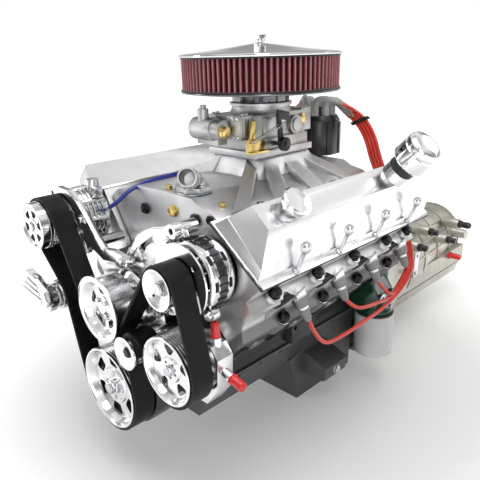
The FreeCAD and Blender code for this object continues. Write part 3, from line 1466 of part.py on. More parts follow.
def make_plug_wires():
    wires = []
    for side in (1, -1):
        for at, d in boot_places(side):
            wires.append(turned(at, d, [(5.6, 0), (11, 0), (9, 16), (7, boot_length), (0, boot_length),
                                        (0, 14), (5.6, 14)]))
        for lane in range(4):
            wires.append(tube(wire_points(side, lane), plug_wire_radius))
    return group(wires)


def make_blue_hose(intake, compressor):
    points = [(-136, -300, 322), (-96, -300, 336), (-78, -262, 374), (-90, -150, 378), (-86, -50, 380)]
    return biggest(tube(points, hose_radius).cut(group([intake, compressor])))


def save(name, shape):
    moved = shape.copy()
    moved.translate(vec(0, -(sump_front + sump_rear) / 2, crank_height))
    bad = [s for s in moved.Solids if not s.isValid()]
    print(name, "solids", len(moved.Solids), "faces", len(moved.Faces), "valid",
          moved.isValid() and not bad, "volume", round(moved.Volume / 1000.0, 2))
    if len(moved.Solids) == 1 and not isinstance(moved, Part.Compound):
        moved.exportStep("parts/" + name + ".step")
    else:
        group(moved.Solids).exportStep("parts/" + name + ".step")


def main():
    os.makedirs("parts", exist_ok=True)
    block = make_block()
    intake = make_intake()
    compressor = make_compressor_body()
    compressor_arm_piece = make_compressor_bracket()
    pump = make_pump_housing()
    head = make_head()
    bracket_pieces = [biggest(make_alternator_bracket().cut(group([pump, compressor_arm_piece]))),
                      biggest(make_idler_bracket().cut(pump))]
    nodes = {
        "cylinder_block": block,
        "main_bearing_caps": make_bearing_caps(),
        "crankshaft": make_crankshaft(),
        "pistons": make_pistons(),
        "camshaft": make_camshaft(),
        "timing_chain": make_chain(),
        "timing_cover": make_timing_cover(),
        "oil_pan": make_pan(),
        "head_gaskets": group([make_gasket(1), make_gasket(-1)]),
        "left_cylinder_head": turned_to_bank(1, head),
        "right_cylinder_head": turned_to_bank(-1, head),
        "head_bolts": make_head_bolts(),
        "spark_plugs": make_spark_plugs(),
        "left_valve_cover": make_cover(1),
        "right_valve_cover": make_cover(-1),
        "valve_cover_bolts": make_cover_bolts(),
        "oil_fill_cap": make_fill_cap(),
        "breather_grommet": make_grommet(),
        "breather": make_breather(),
        "intake_manifold": intake,
        "thermostat_housing": make_neck(),
        "throttle_lever": make_throttle(),
        "carburetor_body": make_carb_body(),
        "carburetor_fittings": make_carb_fittings(),
        "air_cleaner_base": make_cleaner_base(),
        "air_filter_element": make_element(),
        "air_cleaner_lid": joined([make_lid(), make_stud()]),
        "distributor_housing": make_distributor(),
        "distributor_shaft": make_rotor(),
        "distributor_cap": make_distributor_cap(),
        "plug_wires": make_plug_wires(),
        "blue_hose": make_blue_hose(intake, compressor),
        "harmonic_damper": make_damper(),
        "crank_pulley": make_crank_pulley(),
        "serpentine_belt": make_belt(),
        "water_pump_housing": pump,
        "water_pump_pulley": make_pump_pulley(),
        "alternator_housing": group([make_alternator_front(), make_alternator_rear()]),
        "alternator_stator": make_stator(),
        "alternator_rotor": make_alternator_rotor(),
        "accessory_brackets": group(bracket_pieces),
        "steering_pump": make_steering_pump(),
        "steering_pulley": make_steering_pulley(),
        "hose_caps": make_hose_caps(),
        "compressor_body": compressor,
        "compressor_pulley": make_compressor_pulley(),
        "compressor_bracket": compressor_arm_piece,
        "idler_pulley": make_idler(),
        "tensioner_arm": make_tensioner_arm(),
        "tensioner_base": make_tensioner_base(),
        "tensioner_pulley": make_tensioner_pulley(),
        "oil_filter": make_oil_filter(),
        "oil_filter_adapter": make_filter_adapter(block),
        "transmission_case": make_trans_case(),
        "transmission_pan": make_trans_pan(),
        "output_shaft": make_output_shaft(),
        "shift_lever": make_shift_lever(),
        "torque_converter": make_converter(),
        "transmission_connectors": make_connectors(),
    }
    for name, shape in nodes.items():
        save(name, shape)


main()
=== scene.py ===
import bmesh
import bpy
import json
import math
import numpy as np
from mathutils import Matrix, Vector


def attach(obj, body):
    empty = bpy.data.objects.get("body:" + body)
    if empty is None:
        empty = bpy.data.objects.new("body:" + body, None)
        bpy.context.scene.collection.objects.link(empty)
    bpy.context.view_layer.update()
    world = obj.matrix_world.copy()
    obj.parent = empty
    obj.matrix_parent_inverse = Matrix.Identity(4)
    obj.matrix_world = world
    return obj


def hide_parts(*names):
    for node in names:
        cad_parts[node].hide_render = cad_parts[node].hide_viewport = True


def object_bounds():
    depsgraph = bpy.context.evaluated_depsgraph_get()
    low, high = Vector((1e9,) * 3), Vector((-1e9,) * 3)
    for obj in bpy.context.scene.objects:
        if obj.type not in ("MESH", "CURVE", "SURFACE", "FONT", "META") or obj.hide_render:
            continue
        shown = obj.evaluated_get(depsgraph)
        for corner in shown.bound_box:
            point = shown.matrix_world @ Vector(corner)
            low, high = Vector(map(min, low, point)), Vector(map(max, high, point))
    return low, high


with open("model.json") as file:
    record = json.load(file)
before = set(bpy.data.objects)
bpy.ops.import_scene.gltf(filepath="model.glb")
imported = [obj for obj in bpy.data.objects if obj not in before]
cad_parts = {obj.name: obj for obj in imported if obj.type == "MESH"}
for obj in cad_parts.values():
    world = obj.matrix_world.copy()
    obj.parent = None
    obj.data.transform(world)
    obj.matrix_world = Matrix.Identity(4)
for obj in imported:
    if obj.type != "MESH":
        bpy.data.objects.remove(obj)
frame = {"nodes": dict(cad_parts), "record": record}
nodes = frame["nodes"]
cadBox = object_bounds()
crankPlace = (0.0, -155.0, 205.0)    # millimetres from the frame's origin to the middle of the crank
print("frame loaded,", len(nodes), "nodes")

cameraValues = {
    "place": (0.8631, -1.0415, 0.8384),
    "yaw": 45.26,      # degrees, from looking along +Y towards -X
    "pitch": 19.06,    # degrees below the horizon
    "roll": -1.58,
    "lens": 41.16,
    "sensor": 36.0,
}


def makeCamera(v):
    yaw, pitch, roll = (math.radians(v[k]) for k in ("yaw", "pitch", "roll"))
    look = Vector((-math.sin(yaw) * math.cos(pitch), math.cos(yaw) * math.cos(pitch), -math.sin(pitch)))
    side = Vector((math.cos(yaw), math.sin(yaw), 0.0))
    up = side.cross(look)
    right = side * math.cos(roll) + up * math.sin(roll)
    top = up * math.cos(roll) - side * math.sin(roll)
    camera = bpy.data.objects.new("camera", bpy.data.cameras.new("camera"))
    bpy.context.scene.collection.objects.link(camera)
    camera.matrix_world = Matrix((
        (right.x, top.x, -look.x, v["place"][0]),
        (right.y, top.y, -look.y, v["place"][1]),
        (right.z, top.z, -look.z, v["place"][2]),
        (0, 0, 0, 1)))
    camera.data.lens = v["lens"]
    camera.data.sensor_width = v["sensor"]
    camera.data.clip_end = 80
    bpy.context.scene.camera = camera


makeCamera(cameraValues)


# Small helpers for node trees

def putValue(tree, socket, value):
    if isinstance(value, (int, float)):
        socket.default_value = value
    else:
        tree.links.new(value, socket)


def mathNode(tree, operation, a, b=None, clamp=False):
    node = tree.nodes.new("ShaderNodeMath")
    node.operation = operation
    node.use_clamp = clamp
    putValue(tree, node.inputs[0], a)
    if b is not None:
        putValue(tree, node.inputs[1], b)
    return node.outputs[0]


def noiseNode(tree, vector, scale, detail, rough=0.55):
    node = tree.nodes.new("ShaderNodeTexNoise")
    node.inputs["Detail"].default_value = detail
    node.inputs["Roughness"].default_value = rough
    putValue(tree, node.inputs["Scale"], scale)
    tree.links.new(vector, node.inputs["Vector"])
    return node.outputs["Fac"]


def rangeNode(tree, value, low, high, toLow, toHigh):
    node = tree.nodes.new("ShaderNodeMapRange")
    tree.links.new(value, node.inputs["Value"])
    for label, number in (("From Min", low), ("From Max", high), ("To Min", toLow), ("To Max", toHigh)):
        putValue(tree, node.inputs[label], number)
    return node.outputs["Result"]


def colourRamp(tree, value, stops):
    node = tree.nodes.new("ShaderNodeValToRGB")
    while len(node.color_ramp.elements) < len(stops):
        node.color_ramp.elements.new(0.5)
    for element, (where, colour) in zip(node.color_ramp.elements, stops):
        element.position = where
        element.color = (*colour, 1)
    tree.links.new(value, node.inputs["Fac"])
    return node.outputs["Color"]


def mixColour(tree, amount, a, b):
    node = tree.nodes.new("ShaderNodeMix")
    node.data_type = "RGBA"
    tree.links.new(amount, node.inputs["Factor"])
    for label, value in (("A", a), ("B", b)):
        socket = [s for s in node.inputs if s.name == label and s.type == "RGBA"][0]
        if isinstance(value, tuple):
            socket.default_value = (*value, 1)
        else:
            tree.links.new(value, socket)
    return [s for s in node.outputs if s.type == "RGBA"][0]


def objectPlace(tree):
    return tree.nodes.new("ShaderNodeTexCoord").outputs["Object"]


def splitVector(tree, vector):
    node = tree.nodes.new("ShaderNodeSeparateXYZ")
    tree.links.new(vector, node.inputs[0])
    return node.outputs


def mixShaders(tree, amount, a, b):
    node = tree.nodes.new("ShaderNodeMixShader")
    for value, socket in zip((amount, a, b), node.inputs):
        tree.links.new(value, socket)
    return node.outputs[0]


def bumpNode(tree, height, strength, distance):
    node = tree.nodes.new("ShaderNodeBump")
    node.inputs["Strength"].default_value = strength
    node.inputs["Distance"].default_value = distance
    tree.links.new(height, node.inputs["Height"])
    return node.outputs["Normal"]


# Floor, world and lamps: polished metal sees a white floor, a darker band above the horizon and bright
# panels overhead

studioValues = {
    "floorSize": 40.0,
    "floorGap": 0.0005,       # metres below the sump
    "floorColour": (0.80, 0.80, 0.80, 1),
    "floorRoughness": 0.9,
    "glowNear": 0.16,         # added where the camera or a mirror sees the floor, close to the engine
    "glowFar": 0.95,          # and well away from it
    "glowFrom": 0.5,          # metres from the middle
    "glowTo": 1.35,
    "worldStrength": 0.36,
    # height of the direction (0 horizon, 1 overhead) and brightness of what polished metal sees there
    "reflected": ((0.0, 0.7), (0.10, 0.62), (0.2, 0.34), (0.34, 0.36), (0.46, 0.6), (0.60, 1.0),
                  (0.80, 0.8), (1.0, 0.3)),
    "flags": 0.45,            # how far upright grey screens darken those reflections
    "flagTurns": 5.0,         # screens in a full turn
    "flagEdge": (0.25, 0.75),
    "flagFoot": (0.03, 0.12),       # heights of direction between which the screens set in, and end
    "flagTop": (0.5, 0.7),
    # name: (place, aim, width, height, watts)
    "lamps": {
        "topSoft": ((0.5, -0.5, 3.0), (0.0, 0.1, 0.3), 2.2, 2.2, 42),
        "frontSoft": ((2.6, -2.6, 1.5), (0.0, 0.0, 0.35), 1.2, 1.8, 20),
        "leftStrip": ((-2.4, -2.0, 1.4), (0.0, -0.2, 0.35), 0.6, 2.0, 13),
        "backSoft": ((1.4, 3.0, 2.0), (0.0, 0.3, 0.35), 1.8, 1.4, 15),
    },
}


def makeWorld(v):
    world = bpy.data.worlds.new("paleWorld")
    bpy.context.scene.world = world
    world.use_nodes = True
    tree = world.node_tree
    tree.nodes.clear()
    direction = splitVector(tree, tree.nodes.new("ShaderNodeTexCoord").outputs["Generated"])
    panels = colourRamp(tree, direction["Z"], [(w, (b, b, b)) for w, b in v["reflected"]])
    turn = mathNode(tree, "ARCTAN2", direction["Y"], direction["X"])
    stripes = mathNode(tree, "SINE", mathNode(tree, "MULTIPLY", turn, v["flagTurns"]))
    screens = rangeNode(tree, stripes, *v["flagEdge"], 1.0, 1.0 - v["flags"])
    low = rangeNode(tree, direction["Z"], *v["flagFoot"], 0.0, 1.0)
    high = rangeNode(tree, direction["Z"], *v["flagTop"], 1.0, 0.0)
    window = mathNode(tree, "MULTIPLY", low, high)
    shaded = mathNode(tree, "MULTIPLY", window, mathNode(tree, "SUBTRACT", 1.0, screens))
    dim = mathNode(tree, "SUBTRACT", 1.0, shaded)
    backgrounds = []
    for strength in (v["worldStrength"], dim, 1.0):
        node = tree.nodes.new("ShaderNodeBackground")
        node.inputs["Color"].default_value = (1, 1, 1, 1)
        putValue(tree, node.inputs["Strength"], strength)
        backgrounds.append(node)
    tree.links.new(panels, backgrounds[1].inputs["Color"])
    lit, mirrored, seen = (node.outputs[0] for node in backgrounds)
    path = tree.nodes.new("ShaderNodeLightPath")
    straight = mathNode(tree, "MAXIMUM", path.outputs["Is Camera Ray"], path.outputs["Is Transmission Ray"])
    around = mixShaders(tree, path.outputs["Is Glossy Ray"], lit, mirrored)
    out = tree.nodes.new("ShaderNodeOutputWorld")
    tree.links.new(mixShaders(tree, straight, around, seen), out.inputs["Surface"])


def makeFloor(v):
    half = v["floorSize"] / 2
    mesh = bpy.data.meshes.new("floor")
    corners = [(-half, -half, 0), (half, -half, 0), (half, half, 0), (-half, half, 0)]
    mesh.from_pydata(corners, [], [(0, 1, 2, 3)])
    floor = bpy.data.objects.new("floor", mesh)
    bpy.context.scene.collection.objects.link(floor)
    floor.location.z = cadBox[0][2] - v["floorGap"]
    material = bpy.data.materials.new("paleFloor")
    material.use_nodes = True
    tree = material.node_tree
    shader = tree.nodes["Principled BSDF"]
    shader.inputs["Base Color"].default_value = v["floorColour"]
    shader.inputs["Roughness"].default_value = v["floorRoughness"]
    shader.inputs["Specular IOR Level"].default_value = 0.0
    shader.inputs["Emission Color"].default_value = (1, 1, 1, 1)
    away = tree.nodes.new("ShaderNodeVectorMath")
    away.operation = "LENGTH"
    tree.links.new(objectPlace(tree), away.inputs[0])
    rise = rangeNode(tree, away.outputs["Value"], v["glowFrom"], v["glowTo"], v["glowNear"], v["glowFar"])
    path = tree.nodes.new("ShaderNodeLightPath")
    mirrorOrEye = mathNode(tree, "MAXIMUM", path.outputs["Is Camera Ray"], path.outputs["Is Glossy Ray"])
    tree.links.new(mathNode(tree, "MULTIPLY", mirrorOrEye, rise), shader.inputs["Emission Strength"])
    mesh.materials.append(material)


def makeLamps(v):
    for name, (place, aim, width, height, watts) in v["lamps"].items():
        lamp = bpy.data.lights.new(name, "AREA")
        lamp.shape = "RECTANGLE"
        lamp.size = width
        lamp.size_y = height
        lamp.energy = watts
        holder = bpy.data.objects.new(name, lamp)
        bpy.context.scene.collection.objects.link(holder)
        holder.location = place
        holder.rotation_euler = (Vector(aim) - Vector(place)).to_track_quat("-Z", "Y").to_euler()


bpy.context.scene.view_settings.view_transform = "Standard"
makeWorld(studioValues)
makeFloor(studioValues)
makeLamps(studioValues)
print("studio made")


# Effects that several materials share

def newGroup(name, inputs, outputs):
    group = bpy.data.node_groups.new(name, "ShaderNodeTree")
    for label, value in inputs.items():
        socket = group.interface.new_socket(label, in_out="INPUT", socket_type="NodeSocketFloat")
        socket.default_value = value
    for label in outputs:
        group.interface.new_socket(label, in_out="OUTPUT", socket_type="NodeSocketFloat")
    return group, group.nodes.new("NodeGroupInput"), group.nodes.new("NodeGroupOutput")


def makeGrainGroup():
    # Fine sand grain over broad cloudy tone; Height is for a bump, Tone for the colour
    group, gin, gout = newGroup("castGrain", {"Scale": 900.0, "Cloud": 14.0}, ("Height", "Tone"))
    place = objectPlace(group)
    fine = noiseNode(group, place, gin.outputs["Scale"], 3.0, 0.7)
    cloud = noiseNode(group, place, gin.outputs["Cloud"], 4.0)
    group.links.new(fine, gout.inputs["Height"])
    fineShare = mathNode(group, "MULTIPLY", fine, 0.35)
    mixed = mathNode(group, "ADD", fineShare, mathNode(group, "MULTIPLY", cloud, 0.65))
    group.links.new(rangeNode(group, mixed, 0.36, 0.64, 0.0, 1.0), gout.inputs["Tone"])
    return group


def makePolishGroup():
    # Polish and handling: Smear raises the roughness, Wave is a slow ripple, Lines are tool marks
    group, gin, gout = newGroup("handPolish", {"Smears": 9.0, "Ripple": 26.0}, ("Smear", "Wave", "Lines"))
    place = objectPlace(group)
    smear = noiseNode(group, place, gin.outputs["Smears"], 6.0, 0.62)
    group.links.new(rangeNode(group, smear, 0.42, 0.66, 0.0, 1.0), gout.inputs["Smear"])
    group.links.new(noiseNode(group, place, gin.outputs["Ripple"], 1.0), gout.inputs["Wave"])
    squeeze = group.nodes.new("ShaderNodeVectorMath")
    squeeze.operation = "MULTIPLY"
    squeeze.inputs[1].default_value = (1.0, 0.08, 1.0)
    group.links.new(place, squeeze.inputs[0])
    group.links.new(noiseNode(group, squeeze.outputs[0], 700.0, 2.0), gout.inputs["Lines"])
    return group


def makeWearGroup():
    # Dust on what faces up, broken by noise, and small chips
    group, gin, gout = newGroup("dustAndChips", {"Dust": 0.5, "Chips": 0.1}, ("Dust", "Chips"))
    place = objectPlace(group)
    facing = splitVector(group, group.nodes.new("ShaderNodeTexCoord").outputs["Normal"])
    upward = rangeNode(group, facing["Z"], 0.15, 1.0, 0.0, 1.0)
    cloud = rangeNode(group, noiseNode(group, place, 30.0, 5.0), 0.4, 0.7, 0.0, 1.0)
    dust = mathNode(group, "MULTIPLY", mathNode(group, "MULTIPLY", upward, cloud), gin.outputs["Dust"], True)
    group.links.new(dust, gout.inputs["Dust"])
    speck = rangeNode(group, noiseNode(group, place, 260.0, 2.0), 0.70, 0.74, 0.0, 1.0)
    group.links.new(mathNode(group, "MULTIPLY", speck, gin.outputs["Chips"], True), gout.inputs["Chips"])
    return group


def makeCornerShadeGroup():
    # Painted shade from ambient occlusion, darkening corners and the gaps between parts: 1 in the open, 0
    # deep in a corner
    group, gin, gout = newGroup("paintedCornerShade", {"Amount": 0.5, "Reach": 0.016}, ("Open",))
    corner = group.nodes.new("ShaderNodeAmbientOcclusion")
    corner.samples = 6
    group.links.new(gin.outputs["Reach"], corner.inputs["Distance"])
    shut = rangeNode(group, corner.outputs["AO"], 0.25, 0.9, 1.0, 0.0)
    cornerShade = mathNode(group, "MULTIPLY", shut, gin.outputs["Amount"])
    group.links.new(mathNode(group, "SUBTRACT", 1.0, cornerShade, True), gout.inputs["Open"])
    return group


grainGroup = makeGrainGroup()
polishGroup = makePolishGroup()
wearGroup = makeWearGroup()
cornerShadeGroup = makeCornerShadeGroup()


def useGroup(tree, group, **values):
    node = tree.nodes.new("ShaderNodeGroup")
    node.node_tree = group
    for label, value in values.items():
        node.inputs[label].default_value = value
    return node


def newMaterial(name, metallic):
    material = bpy.data.materials.new(name)
    material.use_nodes = True
    tree = material.node_tree
    shader = tree.nodes["Principled BSDF"]
    shader.inputs["Metallic"].default_value = metallic
    return material, tree, shader


def linkFinish(tree, shader, colour, rough, normal):
    for label, value in (("Base Color", colour), ("Roughness", rough), ("Normal", normal)):
        tree.links.new(value, shader.inputs[label])


def darkenCorners(tree, colour, cornerShade, shade):
    # The colour fades to a painted shade colour where the surface is shut in
    corner = useGroup(tree, cornerShadeGroup, Amount=cornerShade)
    return mixColour(tree, corner.outputs["Open"], shade, colour)


# Materials

def polishedMetal(name, dark, light, roughLow, roughHigh, ripple, cornerShade=0.35):
    # Hand-polished metal: smears set the roughness between two values, the ripple bends its reflections
    material, tree, shader = newMaterial(name, 1.0)
    polish = useGroup(tree, polishGroup)
    toned = colourRamp(tree, polish.outputs["Smear"], [(0.0, light), (1.0, dark)])
    # Painted shade: the colour darkens in corners and between parts
    linkFinish(tree, shader, darkenCorners(tree, toned, cornerShade, (0.07, 0.07, 0.075)),
               rangeNode(tree, polish.outputs["Smear"], 0, 1, roughLow, roughHigh),
               bumpNode(tree, polish.outputs["Wave"], ripple, 0.004))
    return material


# Painted shade on the heads' plug bosses: a darker colour there, and more roughness
bossShadeValues = {
    "band": (0.058, 0.063),         # metres out of a bank's side, between which the painted shade sets in
    "colour": (0.22, 0.22, 0.22),
    "rougher": 0.18,
}


def bossShadeMask(tree, v):
    # The distance out of a bank's side is (|x| - height over the crank) / square root of 2
    place = splitVector(tree, objectPlace(tree))
    height = mathNode(tree, "SUBTRACT", place["Z"], crankPlace[2] / 1000.0)
    reach = mathNode(tree, "SUBTRACT", mathNode(tree, "ABSOLUTE", place["X"]), height)
    return rangeNode(tree, mathNode(tree, "DIVIDE", reach, math.sqrt(2)), *v["band"], 0.0, 1.0)


def castMetal(name, dark, light, roughLow, roughHigh, grain, scale=900.0, cornerShade=0.5, bossShade=None):
    # Sand-cast skin: grain in the bump, cloudy tone in the colour and roughness, painted shade in the
    # corners, and on the heads a painted shade, with more roughness, on the plug bosses, which stand out
    # furthest
    material, tree, shader = newMaterial(name, 1.0)
    cast = useGroup(tree, grainGroup, Scale=scale)
    toned = colourRamp(tree, cast.outputs["Tone"], [(0.0, dark), (1.0, light)])
    rough = rangeNode(tree, cast.outputs["Tone"], 0, 1, roughHigh, roughLow)
    if bossShade:
        # Painted shade on the plug bosses, and a rougher skin there
        bossShadeAmount = bossShadeMask(tree, bossShade)
        toned = mixColour(tree, bossShadeAmount, toned, bossShade["colour"])
        rough = mathNode(tree, "ADD", rough, mathNode(tree, "MULTIPLY", bossShadeAmount, bossShade["rougher"]))
    linkFinish(tree, shader, darkenCorners(tree, toned, cornerShade, (0.06, 0.06, 0.06)), rough,
               bumpNode(tree, cast.outputs["Height"], grain, 0.0006))
    return material


def brushedSteel(name, dark, light, roughLow, roughHigh):
    # Machined steel: fine lines along the engine
    material, tree, shader = newMaterial(name, 1.0)
    polish = useGroup(tree, polishGroup)
    toned = colourRamp(tree, polish.outputs["Lines"], [(0.3, dark), (0.7, light)])
    # Painted shade: the colour darkens in corners and between parts
    linkFinish(tree, shader, darkenCorners(tree, toned, 0.4, (0.03, 0.03, 0.03)),
               rangeNode(tree, polish.outputs["Smear"], 0, 1, roughLow, roughHigh),
               bumpNode(tree, polish.outputs["Lines"], 0.12, 0.0003))
    return material


def enamel(name, colour, dustColour, rough, grain, dust, coat=0.0):
    # Paint over casting or sheet: a little dust where it faces up, small chips and orange peel
    material, tree, shader = newMaterial(name, 0.0)
    cast = useGroup(tree, grainGroup, Scale=420.0, Cloud=10.0)
    wear = useGroup(tree, wearGroup, Dust=dust)
    shade = tuple(c * 0.72 for c in colour)
    toned = colourRamp(tree, cast.outputs["Tone"], [(0.0, shade), (1.0, colour)])
    dusty = mixColour(tree, wear.outputs["Dust"], toned, dustColour)
    linkFinish(tree, shader, mixColour(tree, wear.outputs["Chips"], dusty, (0.3, 0.3, 0.3)),
               rangeNode(tree, cast.outputs["Tone"], 0, 1, rough + 0.08, rough - 0.05),
               bumpNode(tree, cast.outputs["Height"], grain, 0.0008))
    shader.inputs["Coat Weight"].default_value = coat
    shader.inputs["Coat Roughness"].default_value = 0.12
    return material


def moulded(name, colour, rough, grain, sheen=0.0, coat=0.0, gloss=0.5):
    # Rubber, silicone or plastic: fine grain, slight fading in the colour
    material, tree, shader = newMaterial(name, 0.0)
    cast = useGroup(tree, grainGroup, Scale=1300.0, Cloud=22.0)
    faded = tuple(min(1.0, c * 1.25 + 0.006) for c in colour)
    linkFinish(tree, shader, colourRamp(tree, cast.outputs["Tone"], [(0.0, colour), (1.0, faded)]),
               rangeNode(tree, cast.outputs["Tone"], 0, 1, rough - 0.04, rough + 0.08),
               bumpNode(tree, cast.outputs["Height"], grain, 0.0004))
    shader.inputs["Sheen Weight"].default_value = sheen
    shader.inputs["Coat Weight"].default_value = coat
    shader.inputs["Specular IOR Level"].default_value = gloss
    return material


def gauzeOverPaper(name, paintedFoldShade, crest, paintedCrestHighlight):
    # Oiled gauze on pleated paper: the pleat attribute runs from 0 in a fold to 1 on its crest, and the weave
    # is a sine of the height
    material, tree, shader = newMaterial(name, 0.0)
    fold = tree.nodes.new("ShaderNodeAttribute")
    fold.attribute_name = "pleat"
    cast = useGroup(tree, grainGroup, Scale=1500.0, Cloud=60.0)
    # The ramp paints near-black shade into the folds and a pale pink highlight on the crests
    depth = colourRamp(tree, fold.outputs["Fac"], [(0.0, tuple(c * 0.05 for c in paintedFoldShade)), (0.56, paintedFoldShade),
                                                   (0.80, crest), (0.99, paintedCrestHighlight)])
    stain = mathNode(tree, "MULTIPLY", cast.outputs["Tone"], 0.35)
    height = splitVector(tree, objectPlace(tree))["Z"]
    wires = mathNode(tree, "SINE", mathNode(tree, "MULTIPLY", height, 4200.0))
    weave = mathNode(tree, "ADD", mathNode(tree, "MULTIPLY", wires, 0.3), cast.outputs["Height"])
    linkFinish(tree, shader, mixColour(tree, stain, depth, tuple(c * 0.55 for c in crest)),
               rangeNode(tree, cast.outputs["Tone"], 0, 1, 0.34, 0.52),
               bumpNode(tree, weave, 0.35, 0.0004))
    shader.inputs["Sheen Weight"].default_value = 0.12
    shader.inputs["Sheen Tint"].default_value = (1.0, 0.72, 0.74, 1)
    return material


# The record's material slots first, then finishes that only scene pieces and a few nodes take

finishes = {
    "polished_aluminium": polishedMetal("polishedAluminium", (0.70, 0.70, 0.71), (0.86, 0.86, 0.87), 0.13,
                                        0.26, 0.08, 0.6),
    "chrome": polishedMetal("chromePlate", (0.78, 0.78, 0.79), (0.90, 0.90, 0.91), 0.04, 0.09, 0.03, 0.45),
    "satin_aluminium": castMetal("satinCasting", (0.60, 0.60, 0.61), (0.78, 0.78, 0.79), 0.34, 0.48, 0.3,
                                 cornerShade=0.6),
    "bare_aluminium": castMetal("bareCasting", (0.50, 0.50, 0.49), (0.66, 0.66, 0.65), 0.32, 0.46, 0.4),
    "transmission_grey": castMetal("dullCasting", (0.42, 0.41, 0.36), (0.60, 0.58, 0.52), 0.36, 0.5, 0.5,
                                   600.0),
    "dark_steel": brushedSteel("darkSteel", (0.05, 0.05, 0.055), (0.13, 0.13, 0.14), 0.28, 0.42),
    "forged_steel": brushedSteel("machinedSteel", (0.38, 0.38, 0.39), (0.56, 0.56, 0.57), 0.22, 0.36),
    "bolt_steel": brushedSteel("platedSteel", (0.52, 0.52, 0.54), (0.72, 0.72, 0.74), 0.14, 0.26),
    "gasket_steel": brushedSteel("gasketSheet", (0.2, 0.2, 0.22), (0.34, 0.34, 0.36), 0.3, 0.45),
    "brass": polishedMetal("goldPlate", (0.66, 0.46, 0.14), (0.88, 0.68, 0.28), 0.16, 0.3, 0.05),
    "black_block": enamel("blockEnamel", (0.012, 0.012, 0.013), (0.04, 0.04, 0.04), 0.34, 0.5, 0.2),
    "dark_pan": enamel("panEnamel", (0.088, 0.089, 0.090), (0.12, 0.12, 0.12), 0.40, 0.08, 0.15),
    "green_casting": enamel("greenEnamel", (0.004, 0.06, 0.024), (0.05, 0.07, 0.06), 0.14, 0.12, 0.05, 0.7),
    "white_filter": enamel("whiteEnamel", (0.84, 0.85, 0.84), (0.7, 0.7, 0.68), 0.25, 0.05, 0.1, 0.4),
    "black_steel": enamel("blackLever", (0.010, 0.010, 0.011), (0.03, 0.03, 0.03), 0.24, 0.1, 0.1),
    "black_plastic": moulded("blackPlastic", (0.011, 0.011, 0.012), 0.30, 0.12, coat=0.2),
    "black_rubber": moulded("blackRubber", (0.014, 0.014, 0.014), 0.5, 0.2, 0.2),
    "belt_rubber": moulded("beltRubber", (0.006, 0.006, 0.007), 0.42, 0.2, gloss=0.16),
    "red_plastic": moulded("redPlastic", (0.70, 0.012, 0.010), 0.2, 0.03, coat=0.4),
    "red_wire": moulded("redSilicone", (0.66, 0.028, 0.010), 0.26, 0.04, 0.1, 0.3),
    "blue_rubber": moulded("blueSilicone", (0.012, 0.03, 0.25), 0.30, 0.05, 0.1, 0.2),
    "red_pleats": gauzeOverPaper("oiledGauze", (0.045, 0.002, 0.004), (0.25, 0.020, 0.032),
                                 (0.58, 0.27, 0.30)),
    "grey_boot": moulded("greySilicone", (0.40, 0.40, 0.39), 0.4, 0.1, 0.2),
    "dark_boot": moulded("darkGreySilicone", (0.24, 0.24, 0.24), 0.42, 0.1, 0.2),
    "black_oxide": brushedSteel("blackOxide", (0.018, 0.018, 0.020), (0.045, 0.045, 0.048), 0.18, 0.3),
    "void_black": moulded("shadowBlack", (0.004, 0.004, 0.004), 0.8, 0.1),
    "head_casting": castMetal("headCasting", (0.62, 0.62, 0.62), (0.84, 0.84, 0.84), 0.24, 0.40, 0.45, 500.0,
                              0.75, bossShadeValues),
    "cover_polish": polishedMetal("coverPolish", (0.82, 0.82, 0.83), (0.93, 0.93, 0.94), 0.20, 0.32, 0.04,
                                  0.5),
    "shaded_chrome": polishedMetal("shadedChrome", (0.07, 0.07, 0.075), (0.24, 0.24, 0.25), 0.10, 0.2, 0.03,
                                   0.5),
    "tan_tip": moulded("tanSilicone", (0.42, 0.30, 0.20), 0.4, 0.1),
    "gasket_blue": moulded("gasketPaper", (0.20, 0.24, 0.27), 0.6, 0.2),
}
print("finishes made,", len(finishes))


# Nodes that keep their shape

def makeSoftEdgeTree():
    # Smooth shading everywhere except across edges sharper than Angle
    tree = bpy.data.node_groups.new("smoothByAngle", "GeometryNodeTree")
    tree.is_modifier = True
    for label, way, kind in (("Geometry", "INPUT", "Geometry"), ("Angle", "INPUT", "Float"),
                             ("Geometry", "OUTPUT", "Geometry")):
        tree.interface.new_socket(label, in_out=way, socket_type="NodeSocket" + kind)
    gin = tree.nodes.new("NodeGroupInput")
    gout = tree.nodes.new("NodeGroupOutput")
    faces, edges = (tree.nodes.new("GeometryNodeSetShadeSmooth") for _ in range(2))
    for node, domain, smooth in ((faces, "FACE", True), (edges, "EDGE", False)):
        node.domain = domain
        node.inputs["Shade Smooth"].default_value = smooth
    angle = tree.nodes.new("GeometryNodeInputMeshEdgeAngle")
    sharper = tree.nodes.new("FunctionNodeCompare")
    sharper.data_type = "FLOAT"
    sharper.operation = "GREATER_THAN"
    tree.links.new(gin.outputs["Geometry"], faces.inputs["Geometry"])
    tree.links.new(faces.outputs["Geometry"], edges.inputs["Geometry"])
    tree.links.new(angle.outputs["Unsigned Angle"], sharper.inputs["A"])
    tree.links.new(gin.outputs["Angle"], sharper.inputs["B"])
    tree.links.new(sharper.outputs["Result"], edges.inputs["Selection"])
    tree.links.new(edges.outputs["Geometry"], gout.inputs["Geometry"])
    return tree


softEdgeTree = makeSoftEdgeTree()

